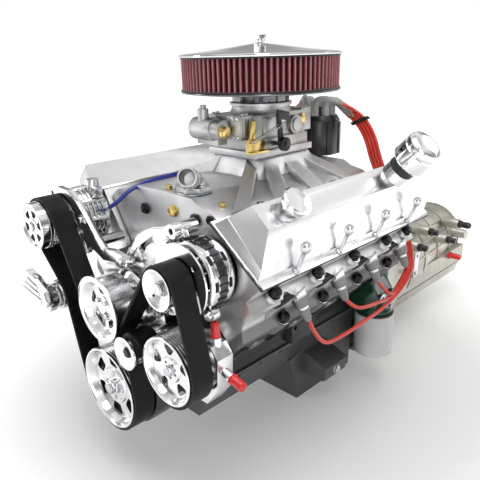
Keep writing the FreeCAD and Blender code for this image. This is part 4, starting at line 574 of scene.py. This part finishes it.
edgeValues = {
    "plain": 0.0008,         # metres of rounding on an edge
    "angle": 38.0,           # degrees between faces, above which an edge is rounded
    "smooth": 34.0,          # and below which shading runs across it
    "weld": 0.00001,
    "rounded": {"cylinder_block": 0.0018, "intake_manifold": 0.003, "transmission_case": 0.0025,
                "left_cylinder_head": 0.0014, "right_cylinder_head": 0.0014, "left_valve_cover": 0.003,
                "right_valve_cover": 0.003, "oil_pan": 0.0025, "transmission_pan": 0.0025,
                "water_pump_housing": 0.002, "steering_pump": 0.0025, "compressor_bracket": 0.002},
    "none": ("serpentine_belt", "air_filter_element", "plug_wires", "blue_hose", "crank_pulley",
             "steering_pulley", "alternator_rotor", "compressor_pulley", "pistons", "camshaft", "crankshaft",
             "main_bearing_caps", "timing_chain", "head_gaskets"),
    "otherFinish": {"head_bolts": "black_oxide", "carburetor_body": "bare_aluminium",
                    "left_cylinder_head": "head_casting", "right_cylinder_head": "head_casting",
                    "valve_cover_bolts": "bolt_steel", "air_cleaner_base": "shaded_chrome",
                    "left_valve_cover": "cover_polish", "right_valve_cover": "cover_polish"},
}


def softenEdges(thing, width):
    if width > 0:
        bevel = thing.modifiers.new("edges", "BEVEL")
        bevel.width = width
        bevel.segments = 2
        bevel.limit_method = "ANGLE"
        bevel.angle_limit = math.radians(edgeValues["angle"])
        bevel.use_clamp_overlap = True
    soft = thing.modifiers.new("soft", "NODES")
    soft.node_group = softEdgeTree
    socket = [s for s in softEdgeTree.interface.items_tree if s.name == "Angle"][0].identifier
    soft[socket] = math.radians(edgeValues["smooth"])


def dressNode(name, material, width):
    node = nodes[name]
    node.data.materials.clear()
    node.data.materials.append(material)
    weld = node.modifiers.new("weld", "WELD")
    weld.merge_threshold = edgeValues["weld"]
    softenEdges(node, width)


for part in frame["record"]["subparts"]:
    name = part["node"]
    width = edgeValues["rounded"].get(name, edgeValues["plain"])
    if name in edgeValues["none"]:
        width = 0
    dressNode(name, finishes[edgeValues["otherFinish"].get(name, part["material_slot"])], width)
print("nodes dressed")


# Surfaces for the new pieces: each shape is its points and a list of arrays of faces, one array for each
# number of corners

def fromCrank(points):
    # Millimetres about the middle of the crank into metres of the frame
    return (np.asarray(points, float) + crankPlace) / 1000.0


def gridShape(points):
    # Neighbouring rows and columns of a grid of points make four-sided faces, and each row closes on itself
    rows, columns = points.shape[:2]
    ids = np.arange(rows * columns).reshape(rows, columns)
    ids = np.hstack([ids, ids[:, :1]])
    quads = np.stack([ids[:-1, :-1], ids[:-1, 1:], ids[1:, 1:], ids[1:, :-1]], axis=-1).reshape(-1, 4)
    return points.reshape(-1, 3), [quads]


def sideways(direction):
    # The direction at length 1, and two directions square to it and to each other
    d = np.asarray(direction, float)
    d = d / np.linalg.norm(d)
    a = np.cross(d, (0.0, 0.0, 1.0) if abs(d[2]) < 0.9 else (1.0, 0.0, 0.0))
    a = a / np.linalg.norm(a)
    return d, a, np.cross(d, a)


def turnedShape(place, direction, profile, steps=32):
    # Point = place + direction * distance + radius * (a cos t + b sin t), for each (radius, distance)
    d, a, b = sideways(direction)
    t = np.linspace(0, 2 * np.pi, steps, endpoint=False)
    spokes = np.cos(t)[:, None] * a + np.sin(t)[:, None] * b
    profile = np.asarray(profile, float)
    points = np.asarray(place, float) + profile[:, 1, None, None] * d + profile[:, 0, None, None] * spokes
    return gridShape(points)


def ringShape(place, direction, inner, outer, thick, steps=40):
    # A flat ring: its profile is a closed rectangle between the two radii
    profile = [(inner, 0), (outer, 0), (outer, thick), (inner, thick)]
    points, faces = turnedShape(place, direction, profile, steps)
    first = np.arange(steps)
    last = first + len(points) - steps
    return points, faces + [np.stack([last, np.roll(last, -1), np.roll(first, -1), first], axis=1)]


def hexShape(place, direction, across, height, washer=0.0):
    # Six-sided head with its corners turned down, on an optional round washer
    r = across / math.sqrt(3)
    head = [(0, -0.6), (r, -0.6), (r, height * 0.8), (r * 0.86, height), (0, height)]
    shapes = [turnedShape(place, direction, head, 6)]
    if washer > 0:
        disc = [(0, -0.5), (washer, -0.5), (washer, 1.2), (washer * 0.9, 1.7), (0, 1.7)]
        shapes.append(turnedShape(place, direction, disc, 20))
    return shapes


def tubeShape(path, radius, sides=16):
    # Point = path + radius * (a cos t + b sin t); a is square to the path and to the direction, out of a few,
    # that it follows least
    path = np.asarray(path, float)
    along = np.gradient(path, axis=0)
    along /= np.linalg.norm(along, axis=1)[:, None]
    choices = np.array([(1, 0, 0), (0, 1, 0), (0, 0, 1), (1, 1, 0), (1, -1, 0), (1, 0, 1), (1, 0, -1),
                        (0, 1, 1), (0, 1, -1), (1, 1, 1), (1, -1, 1), (-1, 1, 1), (1, 1, -1)], float)
    choices /= np.linalg.norm(choices, axis=1)[:, None]
    least = choices[np.argmin(np.abs(along @ choices.T).max(axis=0))]
    a = np.cross(along, least)
    a /= np.linalg.norm(a, axis=1)[:, None]
    b = np.cross(along, a)
    t = np.linspace(0, 2 * np.pi, sides, endpoint=False)
    radius = np.broadcast_to(np.asarray(radius, float), len(path))[:, None, None]
    spokes = a[:, None] * np.cos(t)[None, :, None] + b[:, None] * np.sin(t)[None, :, None]
    ends = [np.repeat(path[k:k + 1, None], sides, axis=1) for k in (0, len(path) - 1)]
    return gridShape(np.concatenate([ends[0], path[:, None] + radius * spokes, ends[1]]))


boxFaces = np.array([(0, 1, 3, 2), (4, 6, 7, 5), (0, 4, 5, 1), (2, 3, 7, 6), (0, 2, 6, 4), (1, 5, 7, 3)])


def boxShape(low, high):
    low, high = np.asarray(low, float), np.asarray(high, float)
    corners = np.array([(x, y, z) for x in (0, 1) for y in (0, 1) for z in (0, 1)], float)
    return low + corners * (high - low), [boxFaces]


def leaningBox(middle, axes, halves):
    # A box from its middle, its three directions and half its size along each
    corners = np.array([(x, y, z) for x in (-1, 1) for y in (-1, 1) for z in (-1, 1)], float) * halves
    axes = np.asarray(axes, float)
    axes /= np.linalg.norm(axes, axis=1)[:, None]
    return np.asarray(middle, float) + corners @ axes, [boxFaces]


def plateShape(outline, across, thick):
    # A flat outline of points carried through its thickness
    outline = np.asarray(outline, float)
    points = np.concatenate([outline, outline + np.asarray(across, float) * thick])
    near = np.arange(len(outline))
    far = near + len(outline)
    sides = np.stack([near, np.roll(near, -1), np.roll(far, -1), far], axis=1)
    return points, [sides, np.stack([near[::-1], far])]


def arcBlock(at, low, high, start, stop, y0, y1, steps=8):
    # A block bent round the line (x, z) along Y: radii low to high, angles start to stop
    t = np.linspace(start, stop, steps)
    section = ((low, y0), (high, y0), (high, y1), (low, y1))
    points = np.stack([np.stack([at[0] + r * np.cos(t), np.full(steps, y), at[1] + r * np.sin(t)], axis=1)
                       for r, y in section], axis=1)
    points, faces = gridShape(points)
    last = (steps - 1) * len(section)
    return points, faces + [np.array([[3, 2, 1, 0], [last, last + 1, last + 2, last + 3]])]


def routeLine(points, name):
    # The smooth line of a lead: the points steer a spline that touches its first and last
    line = bpy.data.curves.new(name + "Line", "CURVE")
    line.dimensions = "3D"
    spline = line.splines.new("NURBS")
    spline.points.add(len(points) - 1)
    steered = np.hstack([np.asarray(points, float), np.ones((len(points), 1))])
    spline.points.foreach_set("co", steered.ravel())
    spline.order_u = 3
    spline.use_endpoint_u = True
    spline.resolution_u = 14
    holder = bpy.data.objects.new(name + "Line", line)
    flat = bpy.data.meshes.new_from_object(holder)
    path = np.empty(len(flat.vertices) * 3)
    flat.vertices.foreach_get("co", path)
    bpy.data.objects.remove(holder)
    bpy.data.meshes.remove(flat)
    bpy.data.curves.remove(line)
    return path.reshape(-1, 3)


def lengthAlong(line):
    return np.concatenate([[0], np.cumsum(np.linalg.norm(np.diff(line, axis=0), axis=1))])


mergeDistance = {"doubles": 0.00001, "degenerate": 0.000001}


def makePiece(name, shapes, finish, body="engine", replaces=(), rounding=0.0, values=None):
    # Joins the shapes, drawn in millimetres about the crank, into one closed and outward-facing mesh
    mesh = bpy.data.meshes.new(name)
    points, faces, start = [], [], 0
    for shapePoints, shapeFaces in shapes:
        points.append(shapePoints)
        for block in shapeFaces:
            faces += (block + start).tolist()
        start += len(shapePoints)
    mesh.from_pydata(fromCrank(np.concatenate(points)).tolist(), [], faces)
    if values is not None:
        mesh.attributes.new(values[0], "FLOAT", "POINT").data.foreach_set("value", values[1])
    work = bmesh.new()
    work.from_mesh(mesh)
    bmesh.ops.remove_doubles(work, verts=work.verts, dist=mergeDistance["doubles"])
    bmesh.ops.dissolve_degenerate(work, dist=mergeDistance["degenerate"], edges=work.edges)
    bmesh.ops.recalc_face_normals(work, faces=work.faces)
    work.to_mesh(mesh)
    work.free()
    piece = bpy.data.objects.new(name, mesh)
    bpy.context.scene.collection.objects.link(piece)
    mesh.materials.append(finishes[finish])
    softenEdges(piece, rounding)
    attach(piece, body)
    if replaces:
        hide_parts(*replaces)


# The two banks: u outwards along the deck, n up the bores, side +1 the left bank and -1 the right

bankValues = {
    "lean": math.sin(math.radians(45)),
    "spacing": 123.0,
    "stagger": 12.0,
    "headFace": 249.9,       # from the crank axis up the bore to the head's lower face
}


def bankPoint(side, u, y, n):
    return np.array([side * (n + u) * bankValues["lean"], y, (n - u) * bankValues["lean"]])


def bankWay(side, u, n, y=0.0):
    way = bankPoint(side, u, y, n)
    return way / np.linalg.norm(way)


def bankMiddle(side):
    return -side * bankValues["stagger"]


def cylinderY(side, i):
    return bankMiddle(side) + (i - 1.5) * bankValues["spacing"]


plugValues = {
    "seat": (42.0, 43.0, 86.0),       # u, y from the cylinder's middle, height above the head's face
    "way": (1.0, -0.6, 0.35),         # u, n and y of the direction out of the head
}


def plugPlace(side, i):
    u, behind, up = plugValues["seat"]
    place = bankPoint(side, u, cylinderY(side, i) + behind, bankValues["headFace"] + up)
    return place, bankWay(side, *plugValues["way"])


# Plug wires, from the cap's towers over the back of the covers to the plugs

wireValues = {
    "radius": 4.1,
    "towerTop": 494.0,
    "towerAngles": (67.5, 22.5, -22.5, -67.5),
    "towerRing": 34.0,
    "capY": 262.0,
    "lane": 9.0,             # spread from one wire to the next, taken by the shares below
    "rise": (24.0, 0.3),     # straight up from the tower, and its share of the spread
    "rear": 293.0,
    # over the back of the cover and down behind the head: x and its share, y from the rear, z and its share
    "over": ((66.0, 0.9, 0.0, 482.0, 0.4), (122.0, 0.9, 0.0, 436.0, 0.4), (150.0, 0.9, 0.0, 350.0, 0.4),
             (273.0, 0.6, -1.0, 160.0, -0.3)),
    "gather": (284.0, 0.6, 178.0, 98.0, -0.5),      # x and its share, y, z and its share
    "drops": (30.0, 30.0, 30.0, 62.0),              # how far each wire hangs below its plug
    "forwards": (16.0, 84.0, 8.0),                  # out, most to the rear, and further down, before the plug
    "turnUp": (10.0, 22.0),                         # out and to the rear, where it turns up to the plug
    "bootStart": 43.4,       # along the plug, from the head
    "bootLength": 26.0,
    # (radius, distance) of a plug boot and of the sleeve on a tower
    "boot": [(0, 14), (5.7, 14), (5.7, 0), (10.6, 0), (11.2, 1.5), (11.2, 4.5), (9.6, 6), (9.3, 13),
             (8.4, 15), (8.1, 17), (8.8, 18), (8.8, 21), (7.6, 22), (6.4, 27), (0, 28)],
    "sleeve": [(7.2, 0), (9.6, 0), (9.9, 1), (9.9, 4), (9.0, 5), (8.8, 20), (8.2, 21), (0, 21)],
    "sleeveFoot": 20.0,      # below the tower's top
    "neck": (74.0, 8.6, 0.026),      # length of the sleeve along the wire, radius, and its loss a millimetre
    "tip": (68.0, 88.0, 6.2),        # from and to along the wire, radius
}


def wireLine(side, lane, v):
    a = math.radians(v["towerAngles"][lane])
    tx, ty = side * v["towerRing"] * math.cos(a), v["capY"] + v["towerRing"] * math.sin(a)
    place, way = plugPlace(side, 3 - lane)
    end = place + way * (v["bootStart"] + v["bootLength"])
    spread = v["lane"] * lane
    rear = bankMiddle(side) / 2 + v["rear"]
    up, share = v["rise"]
    points = [(tx, ty, v["towerTop"]), (tx, ty, v["towerTop"] + up + share * spread)]
    points += [(side * (x + dx * spread), rear + y, z + dz * spread) for x, dx, y, z, dz in v["over"]]
    drop = v["drops"][lane]
    if lane > 0:
        x, dx, y, z, dz = v["gather"]
        points.append((side * (x + dx * spread), y, z + dz * spread))
        out, most, down = v["forwards"]
        points.append((end[0] + side * out, end[1] + min(most, (y - end[1]) / 2), end[2] - drop - down))
    out, back = v["turnUp"]
    points += [(end[0] + side * out, end[1] + back, end[2] - drop), tuple(end)]
    return routeLine(points, "wire"), (tx, ty)


def makeWires(v):
    foot = v["towerTop"] - v["sleeveFoot"]
    length, thick, loss = v["neck"]
    tipFrom, tipTo, tipRadius = v["tip"]
    for side, label in ((1, "left"), (-1, "right")):
        wires, boots, sleeves, tips = [], [], [], []
        for lane in range(4):
            line, (tx, ty) = wireLine(side, lane, v)
            wires.append(tubeShape(line, v["radius"], 14))
            place, way = plugPlace(side, lane)
            boots.append(turnedShape(place + way * v["bootStart"], way, v["boot"], 28))
            reach = lengthAlong(line)
            sleeves.append(turnedShape((tx, ty, foot), (0, 0, 1), v["sleeve"], 24))
            sleeves.append(tubeShape(line[reach < length], thick - loss * reach[reach < length], 18))
            tips.append(tubeShape(line[(reach > tipFrom) & (reach < tipTo)], tipRadius, 16))
        makePiece(label + "PlugWires", wires, "red_wire", replaces=("plug_wires",))
        makePiece(label + "PlugBoots", boots, "dark_boot", replaces=("plug_wires",))
        makePiece(label + "CapBoots", sleeves, "grey_boot", replaces=("plug_wires",))
        makePiece(label + "BootTips", tips, "tan_tip")


makeWires(wireValues)

# Wire clips: a flat bar across the four wires of a bank, with a slimmer tongue

clipValues = {
    "middle": (108.0, 463.0),        # x and z; y is the wires' own
    "across": (8.1, 3.6),            # x and z of the bar's thin direction
    "down": (56.0, -46.0),           # and of the one along the wires
    "bar": (23.0, 5.0, 7.5),
    "tongue": (26.0, 2.5, 2.0),
}


def makeClips(v):
    x, z = v["middle"]
    for side, label in ((1, "left"), (-1, "right")):
        axes = [(side * dx, 0, dz) for dx, dz in (v["across"], v["down"])] + [(0, 1, 0)]
        middle = (side * x, wireValues["rear"] + bankMiddle(side) / 2, z)
        shapes = [leaningBox(middle, axes, v[part]) for part in ("bar", "tongue")]
        makePiece(label + "WireClip", shapes, "black_plastic", rounding=0.0012)


makeClips(clipValues)
print("wires made")


# Blue hose with a spring clamp near its front end

hoseValues = {
    "points": [(-136, -300, 322), (-96, -300, 336), (-78, -262, 374), (-90, -150, 378), (-86, -50, 380)],
    "radius": 4.5,
    "clampRadius": 6.2,
    "clampAt": (16.0, 26.0),
}


def makeHose(v):
    line = routeLine(v["points"], "hose")
    hose = tubeShape(line, v["radius"], 20)
    makePiece("blueHose", [hose], "blue_rubber", replaces=("blue_hose",))
    reach = lengthAlong(line)
    low, high = v["clampAt"]
    clamp = tubeShape(line[(reach > low) & (reach < high)], v["clampRadius"], 24)
    makePiece("hoseClamps", [clamp], "bolt_steel")


# Filter element: radius = outer - depth * (1 - |cos of half the pleat's angle| to a power), which gives wide
# crests and narrow folds; the pleat attribute is the same wave from 0 in the fold to 1 on the crest

elementValues = {
    "middle": (0.0, 46.0),
    "outer": 173.6,
    "inner": 150.0,
    "depth": 8.5,
    "pleats": 90,
    "crest": 1.05,           # the power
    "uneven": 0.05,          # how far the middle of a pleat wanders
    "steps": 14,
    "low": 555.0,
    "high": 619.0,
    "rows": 14,
    "rim": (150.0, 175.2, 3.6),      # inner radius, outer radius, height
    "rimHeights": (552.0, 622.0),    # underside of the lower one, top of the upper one
}


def makeElement(v):
    count = v["pleats"] * v["steps"]
    t = np.linspace(0, 2 * np.pi, count, endpoint=False)
    rows = np.linspace(0, 1, v["rows"])
    rng = np.random.default_rng(7)
    lean = rng.normal(0, v["uneven"], v["pleats"]).repeat(v["steps"])
    turn = t * v["pleats"] / 2 + lean[None, :] * np.sin(rows * np.pi)[:, None]
    wave = np.abs(np.cos(turn)) ** v["crest"]
    radius = v["outer"] - v["depth"] * (1 - wave)
    z = v["low"] + (v["high"] - v["low"]) * rows
    x, y = v["middle"]
    heights = np.broadcast_to(z[:, None], radius.shape)
    outer = np.stack([x + radius * np.cos(t), y + radius * np.sin(t), heights], axis=2)
    ring = np.stack([x + v["inner"] * np.cos(t), y + v["inner"] * np.sin(t)], axis=1)
    inner = np.stack([np.hstack([ring, np.full((count, 1), h)]) for h in (v["high"], v["low"])])
    shape = gridShape(np.concatenate([outer, inner, outer[:1]]))
    values = np.concatenate([wave.ravel(), np.zeros(2 * count), wave[0]])
    makePiece("pleatedElement", [shape], "red_pleats", replaces=("air_filter_element",),
              values=("pleat", values))
    low, high, tall = v["rim"]
    foot, top = v["rimHeights"]
    for label, z in (("lowerRim", foot), ("upperRim", top - tall)):
        rim = ringShape((x, y, z), (0, 0, 1), low, high, tall, 120)
        makePiece(label, [rim], "black_rubber", replaces=("air_filter_element",),
                  rounding=0.0008)


makeHose(hoseValues)
makeElement(elementValues)
print("hose and filter element made")


# Head washers, dark plates in the port mouths, core plugs and cover gaskets

headValues = {
    # u, y from the cylinder's middle, height above the head's face; the upper row has a fifth bolt
    "lowerBolts": (72.0, 17.0, 40.0),
    "upperBolts": (36.0, -31.0, 107.0),
    "fifthBolt": 243.0,                              # y from the bank's middle
    "washer": (8.0, 14.4, 3.5),
    "washerSunk": 0.2,
    "port": (28.4, 16.6, 1.3, 2.6),                  # half width, half height, power of the oval, depth
    "portSeat": (53.4, 3.0, 85.0),                   # as for the bolts
    "portWay": (49.0, 12.0),                         # u and n of the direction out of the port
    "portPlate": 3.0,
    "corePlugs": (-184.5, -61.5, 61.5),
    "coreSeat": (80.0, 190.0),                       # u and n
    "corePlug": [(0, 0.8), (16, 0.8), (18.5, 3.0), (21, 3.4), (21.6, -2), (0, -2)],
    "gasket": 1.4,
    "gasketFront": 280.0,                            # ahead of half the bank's stagger
    # from and to in u, from and to in y behind the gasket's front
    "strips": ((29.0, 33.2, -4.0, 564.0), (-118.0, 33.2, -4.2, 2.0), (-118.0, 33.2, 558.0, 564.2)),
    "coverSeat": (151.5, 32.0, 19.5, 147.0),         # height at a u, and its fall over a run to the valley
}


def boltWashers(side, v):
    (lowU, lowY, lowSeat), (highU, highY, highSeat) = v["lowerBolts"], v["upperBolts"]
    seats = [(lowU, cylinderY(side, i) + lowY, lowSeat) for i in range(4)]
    seats += [(highU, cylinderY(side, i) + highY, highSeat) for i in range(4)]
    seats.append((highU, bankMiddle(side) + v["fifthBolt"], highSeat))
    places = [bankPoint(side, u, y, bankValues["headFace"] + seat - v["washerSunk"]) for u, y, seat in seats]
    return [ringShape(place, bankWay(side, 0, 1), *v["washer"], 28) for place in places]


def portShadows(side, v):
    # Half width * |cos t| to a power along the engine, half height * sin t across it
    wide, tall, power, deep = v["port"]
    u, y, seat = v["portSeat"]
    outU, outN = v["portWay"]
    out, along = bankWay(side, outU, outN), bankWay(side, -outN, outU)
    t = np.linspace(0, 2 * np.pi, 48, endpoint=False)
    reach = np.sign(np.cos(t)) * np.abs(np.cos(t)) ** power * wide
    shapes = []
    for i in range(4):
        middle = bankPoint(side, u, cylinderY(side, i) + y, bankValues["headFace"] + seat) + out * (1 - deep)
        rim = middle + reach[:, None] * (0, 1.0, 0) + (np.sin(t) * tall)[:, None] * along
        shapes.append(plateShape(rim, -out, v["portPlate"]))
    return shapes


def coverGaskets(side, v):
    front = bankMiddle(side) / 2 - v["gasketFront"]
    height, at, fall, run = v["coverSeat"]
    half = v["gasket"] / 2
    shapes = []
    for u0, u1, y0, y1 in v["strips"]:
        seat0, seat1 = (bankValues["headFace"] + height - (at - u) * fall / run for u in (u0, u1))
        corners = ((u0, seat0 - half), (u1, seat1 - half), (u1, seat1 + half), (u0, seat0 + half))
        near = [bankPoint(side, u, front + y0, n) for u, n in corners]
        shapes.append(plateShape(near, (0, 1, 0), y1 - y0))
    return shapes


def corePlugs(side, v):
    u, n = v["coreSeat"]
    way = bankWay(side, 1, 0)
    return [turnedShape(bankPoint(side, u, y, n), way, v["corePlug"], 36) for y in v["corePlugs"]]


def makeHeadTrims(v):
    trims = (("headWashers", boltWashers, "bolt_steel"), ("portShadows", portShadows, "void_black"),
             ("corePlugs", corePlugs, "gasket_steel"), ("coverGaskets", coverGaskets, "black_rubber"))
    for name, shapes, finish in trims:
        makePiece(name, shapes(1, v) + shapes(-1, v), finish)


makeHeadTrims(headValues)


# Small fasteners: (place, direction, width across flats, height, washer radius)

forwards, rearwards, upwards, downwards = (0, -1, 0), (0, 1, 0), (0, 0, 1), (0, 0, -1)


def ringOf(middle, radius, degrees):
    # Places on a circle about a line along the engine
    x, y, z = middle
    return [(x + radius * math.cos(a), y, z + radius * math.sin(a)) for a in np.radians(degrees)]


fastenerValues = {
    "intakeBrass": ("brass", "engine", [((41, -251, 341), forwards, 20, 9, 12.5),
                                        ((5, -232, 375.5), upwards, 13, 9, 0),
                                        ((138, -212, 358), (0.1, 0, 1), 13, 8, 0)]),
    "intakePlugs": ("black_oxide", "engine", [((-52, -251, 330), forwards, 21, 7, 0),
                                              ((106, -251, 335), forwards, 23, 7, 0),
                                              ((148, -251, 343), forwards, 16, 6, 0)]),
    "crankBolt": ("bolt_steel", "crank", [((0, -406, 0), forwards, 23, 9, 0)] +
                  [(place, forwards, 9, 5, 0) for place in ringOf((0, -397, 0), 28, (0, 90, 180, 270))]),
    "pumpBolts": ("bolt_steel", "water_pump", [(place, forwards, 8, 5, 0) for place in
                                               ringOf((0, -405, 175.6), 18.5, (45, 135, 225, 315))]),
    "alternatorNut": ("bolt_steel", "alternator_rotor", [((190.9, -405, 271.1), forwards, 20, 8, 12)]),
    "steeringNut": ("bolt_steel", "steering_pulley", [((198.6, -405, 122.8), forwards, 17, 8, 11)]),
    "compressorNut": ("bolt_steel", "compressor_pulley", [((-200, -429, 303), forwards, 14, 5, 0)]),
    "idlerBolt": ("black_oxide", "idler_pulley", [((98, -420, 124), forwards, 17, 6, 11)]),
    "armBolts": ("bolt_steel", "engine", [((-116, -363.6, 318), forwards, 14, 8, 11),
                                          ((18, -363.6, 262), forwards, 12, 7, 9),
                                          ((76, -345, 252), forwards, 14, 8, 11)]),
    "pumpHousingBolts": ("bolt_steel", "engine", [((s * x, -331.5, z), forwards, 13, 7, 10)
                                                  for s in (1, -1) for x, z in ((94, 180), (74, 160))]),
    "intakeBolts": ("bolt_steel", "engine", [((s * 163, -s * 12 + y, 347), (s * 0.57, 0, 0.82), 13, 7, 11)
                                             for s in (1, -1) for y in (-119, 0, 119)]),
    "panBolts": ("black_oxide", "engine", [((s * 148.5, y, -7), downwards, 9, 4.5, 6.5)
                                           for s in (1, -1) for y in range(-262, 270, 66)]),
    "drainPlug": ("bolt_steel", "engine", [((183, 112, -122), (1, 0, 0), 17, 8, 12)]),
    "bellBolts": ("bolt_steel", "engine", [(place, rearwards, 14, 8, 11) for place in
                                           ringOf((0, 311, -10), 201, (12, 40, 68, 112, 140, 168))]),
    "transPanBolts": ("bolt_steel", "engine", [((s * 120.5, y, -87), downwards, 9, 4, 6)
                                               for s in (1, -1) for y in range(506, 948, 53)]),
    "bowlScrews": ("bolt_steel", "engine", [((x, y, z), way, 8, 4, 0) for x, y, way in
                                            ((32, -72, forwards), (45, -72, forwards), (45, 162, rearwards),
                                             (-45, 162, rearwards)) for z in (460, 498)]),
    "neckBolts": ("bolt_steel", "engine", [((58 + k * 27, -214, 392), upwards, 11, 6, 0) for k in (-1, 1)]),
}


def makeFasteners(v):
    for name, (finish, body, places) in v.items():
        shapes = []
        for place, way, across, tall, washer in places:
            shapes += hexShape(place, way, across, tall, washer)
        makePiece(name, shapes, finish, body, rounding=0.0003)


makeFasteners(fastenerValues)
print("fasteners made")


# Trims of the drive: alternator vents, neck gasket, ring lugs, filter seal

trimValues = {
    "alternator": (190.9, 271.1),
    "vents": (9, 0.13, 66.0, 66.5),          # count, half angle, radii
    "ventRows": ((-344.0, -337.0), (-313.0, -306.0)),
    "neck": (58.0, -214.0, 376.8),
    "neckRim": ((37.5, 15.0), (15.0, 31.5), (-15.0, 31.5), (-37.5, 15.0), (-37.5, -15.0), (-15.0, -31.5),
                (15.0, -31.5), (37.5, -15.0)),
    "neckGasket": 1.8,
    "lugs": ((238.0, 214.0, 52.0), (238.0, 264.0, 52.0)),
    "lug": (4.5, 11.5, 5.0),                 # inner and outer radius, thickness
    "filter": (202.0, 246.0, -5.5),
    "seal": (38.0, 47.5, 3.5),
}


def makeTrims(v):
    count, half, low, high = v["vents"]
    vents = [arcBlock(v["alternator"], low - 1, high, a - half, a + half, y0, y1)
             for y0, y1 in v["ventRows"] for a in np.linspace(0, 2 * np.pi, count, endpoint=False)]
    # Black blocks laid on the housing: painted shade where the vents' openings are
    makePiece("alternatorVents", vents, "void_black")
    x, y, z = v["neck"]
    rim = [(x + dx, y + dy, z) for dx, dy in v["neckRim"]]
    makePiece("neckGasket", [plateShape(rim, upwards, v["neckGasket"])], "gasket_blue")
    lugs = [ringShape(place, (1, 0, 0), *v["lug"], 32) for place in v["lugs"]]
    makePiece("filterLugs", lugs, "bolt_steel", rounding=0.0006)
    seal = ringShape(v["filter"], upwards, *v["seal"], 48)
    makePiece("filterSeal", [seal], "black_rubber", rounding=0.0005)


makeTrims(trimValues)


# Transmission: hoops, lengthwise ribs and bolt ears on the case, pan flange, red cap

transmissionValues = {
    "axis": (0.0, -10.0),
    "cone": (432.0, 150.0, 962.0, 104.0),       # y and radius at the front and the rear
    "hoops": (452.0, 560.0, 660.0, 760.0, 860.0, 948.0),
    "hoop": (4.0, 3.0, 6.0),                    # into and out of the case, width
    "ribAngles": (8, 26, 44, 62, 80, 100, 118, 136, 154, 172),
    "rib": (4.0, 0.5, 3.2),                     # short of the cone's ends, into the case, radius
    "ears": (12, 40, 68, 112, 140, 168),
    "earRing": (297.0, 201.0),                  # y and radius
    "ear": [(0, 0), (13, 0), (12, 14), (0, 14)],
    "flange": ((-127.0, 487.0, 947.0), (-87.2, -83.8)),
    "flangeBars": (122.0, 5.0),                 # x of the long bars, half width
    "cap": ((126.0, 844.0, -43.0), [(0, 0), (12, 0), (12, 6), (9.5, 8), (9.5, 34), (7, 40), (0, 41)]),
}


def makeTransmission(v):
    x, z = v["axis"]
    y0, r0, y1, r1 = v["cone"]
    shapes = []
    inwards, outwards, width = v["hoop"]
    for y in v["hoops"]:
        r = r0 + (r1 - r0) * (y - y0) / (y1 - y0)
        shapes.append(ringShape((x, y - width / 2, z), (0, 1, 0), r - inwards, r + outwards, width, 72))
    short, sunk, radius = v["rib"]
    for a in np.radians(v["ribAngles"]):
        out = np.array([math.cos(a), 0, math.sin(a)])
        start = np.array([x, y0 + short, z]) + out * (r0 - sunk)
        stop = np.array([x, y1 - short, z]) + out * (r1 - sunk)
        shapes.append(tubeShape(np.linspace(start, stop, 6), radius, 8))
    earY, earRadius = v["earRing"]
    ears = ringOf((x, earY, z), earRadius, v["ears"])
    shapes += [turnedShape(place, rearwards, v["ear"], 24) for place in ears]
    makePiece("caseRibs", shapes, "transmission_grey", rounding=0.0006)
    (low, ya, yb), (za, zb) = v["flange"]
    side, half = v["flangeBars"]
    bars = [boxShape((s * side - half, ya, za), (s * side + half, yb, zb)) for s in (1, -1)]
    bars += [boxShape((low, y - half, za), (-low, y + half, zb)) for y in (ya + half, yb - half)]
    makePiece("panFlange", bars, "bolt_steel", rounding=0.0005)
    place, profile = v["cap"]
    makePiece("redCap", [turnedShape(place, (1, 0, 0), profile, 32)], "red_plastic")


makeTransmission(transmissionValues)


# Carburettor's return spring: a helix, point = line + radius * (a cos t + b sin t), narrowing at both ends

springValues = {
    "from": (93.0, 24.0, 486.0),
    "to": (76.0, -66.0, 450.0),
    "coil": 4.2,
    "wire": 0.8,
    "turns": 20,
    "steps": 14,             # points in a turn
    "narrowing": (12.0, 0.05),       # how fast it opens to the full radius, and from what part of it
}


def makeSpring(v):
    start, stop = np.array(v["from"]), np.array(v["to"])
    _, a, b = sideways(stop - start)
    part = np.linspace(0, 1, v["turns"] * v["steps"])
    speed, least = v["narrowing"]
    coil = v["coil"] * np.clip(np.minimum(part, 1 - part) * speed, least, 1)
    t = 2 * np.pi * v["turns"] * part
    spokes = np.cos(t)[:, None] * a + np.sin(t)[:, None] * b
    line = start + part[:, None] * (stop - start) + coil[:, None] * spokes
    makePiece("returnSpring", [tubeShape(line, v["wire"], 6)], "bolt_steel")


makeSpring(springValues)
print("trims made")


# Size of the frame's own box

print("cad box", [round(c, 4) for c in (*cadBox[0], *cadBox[1])])
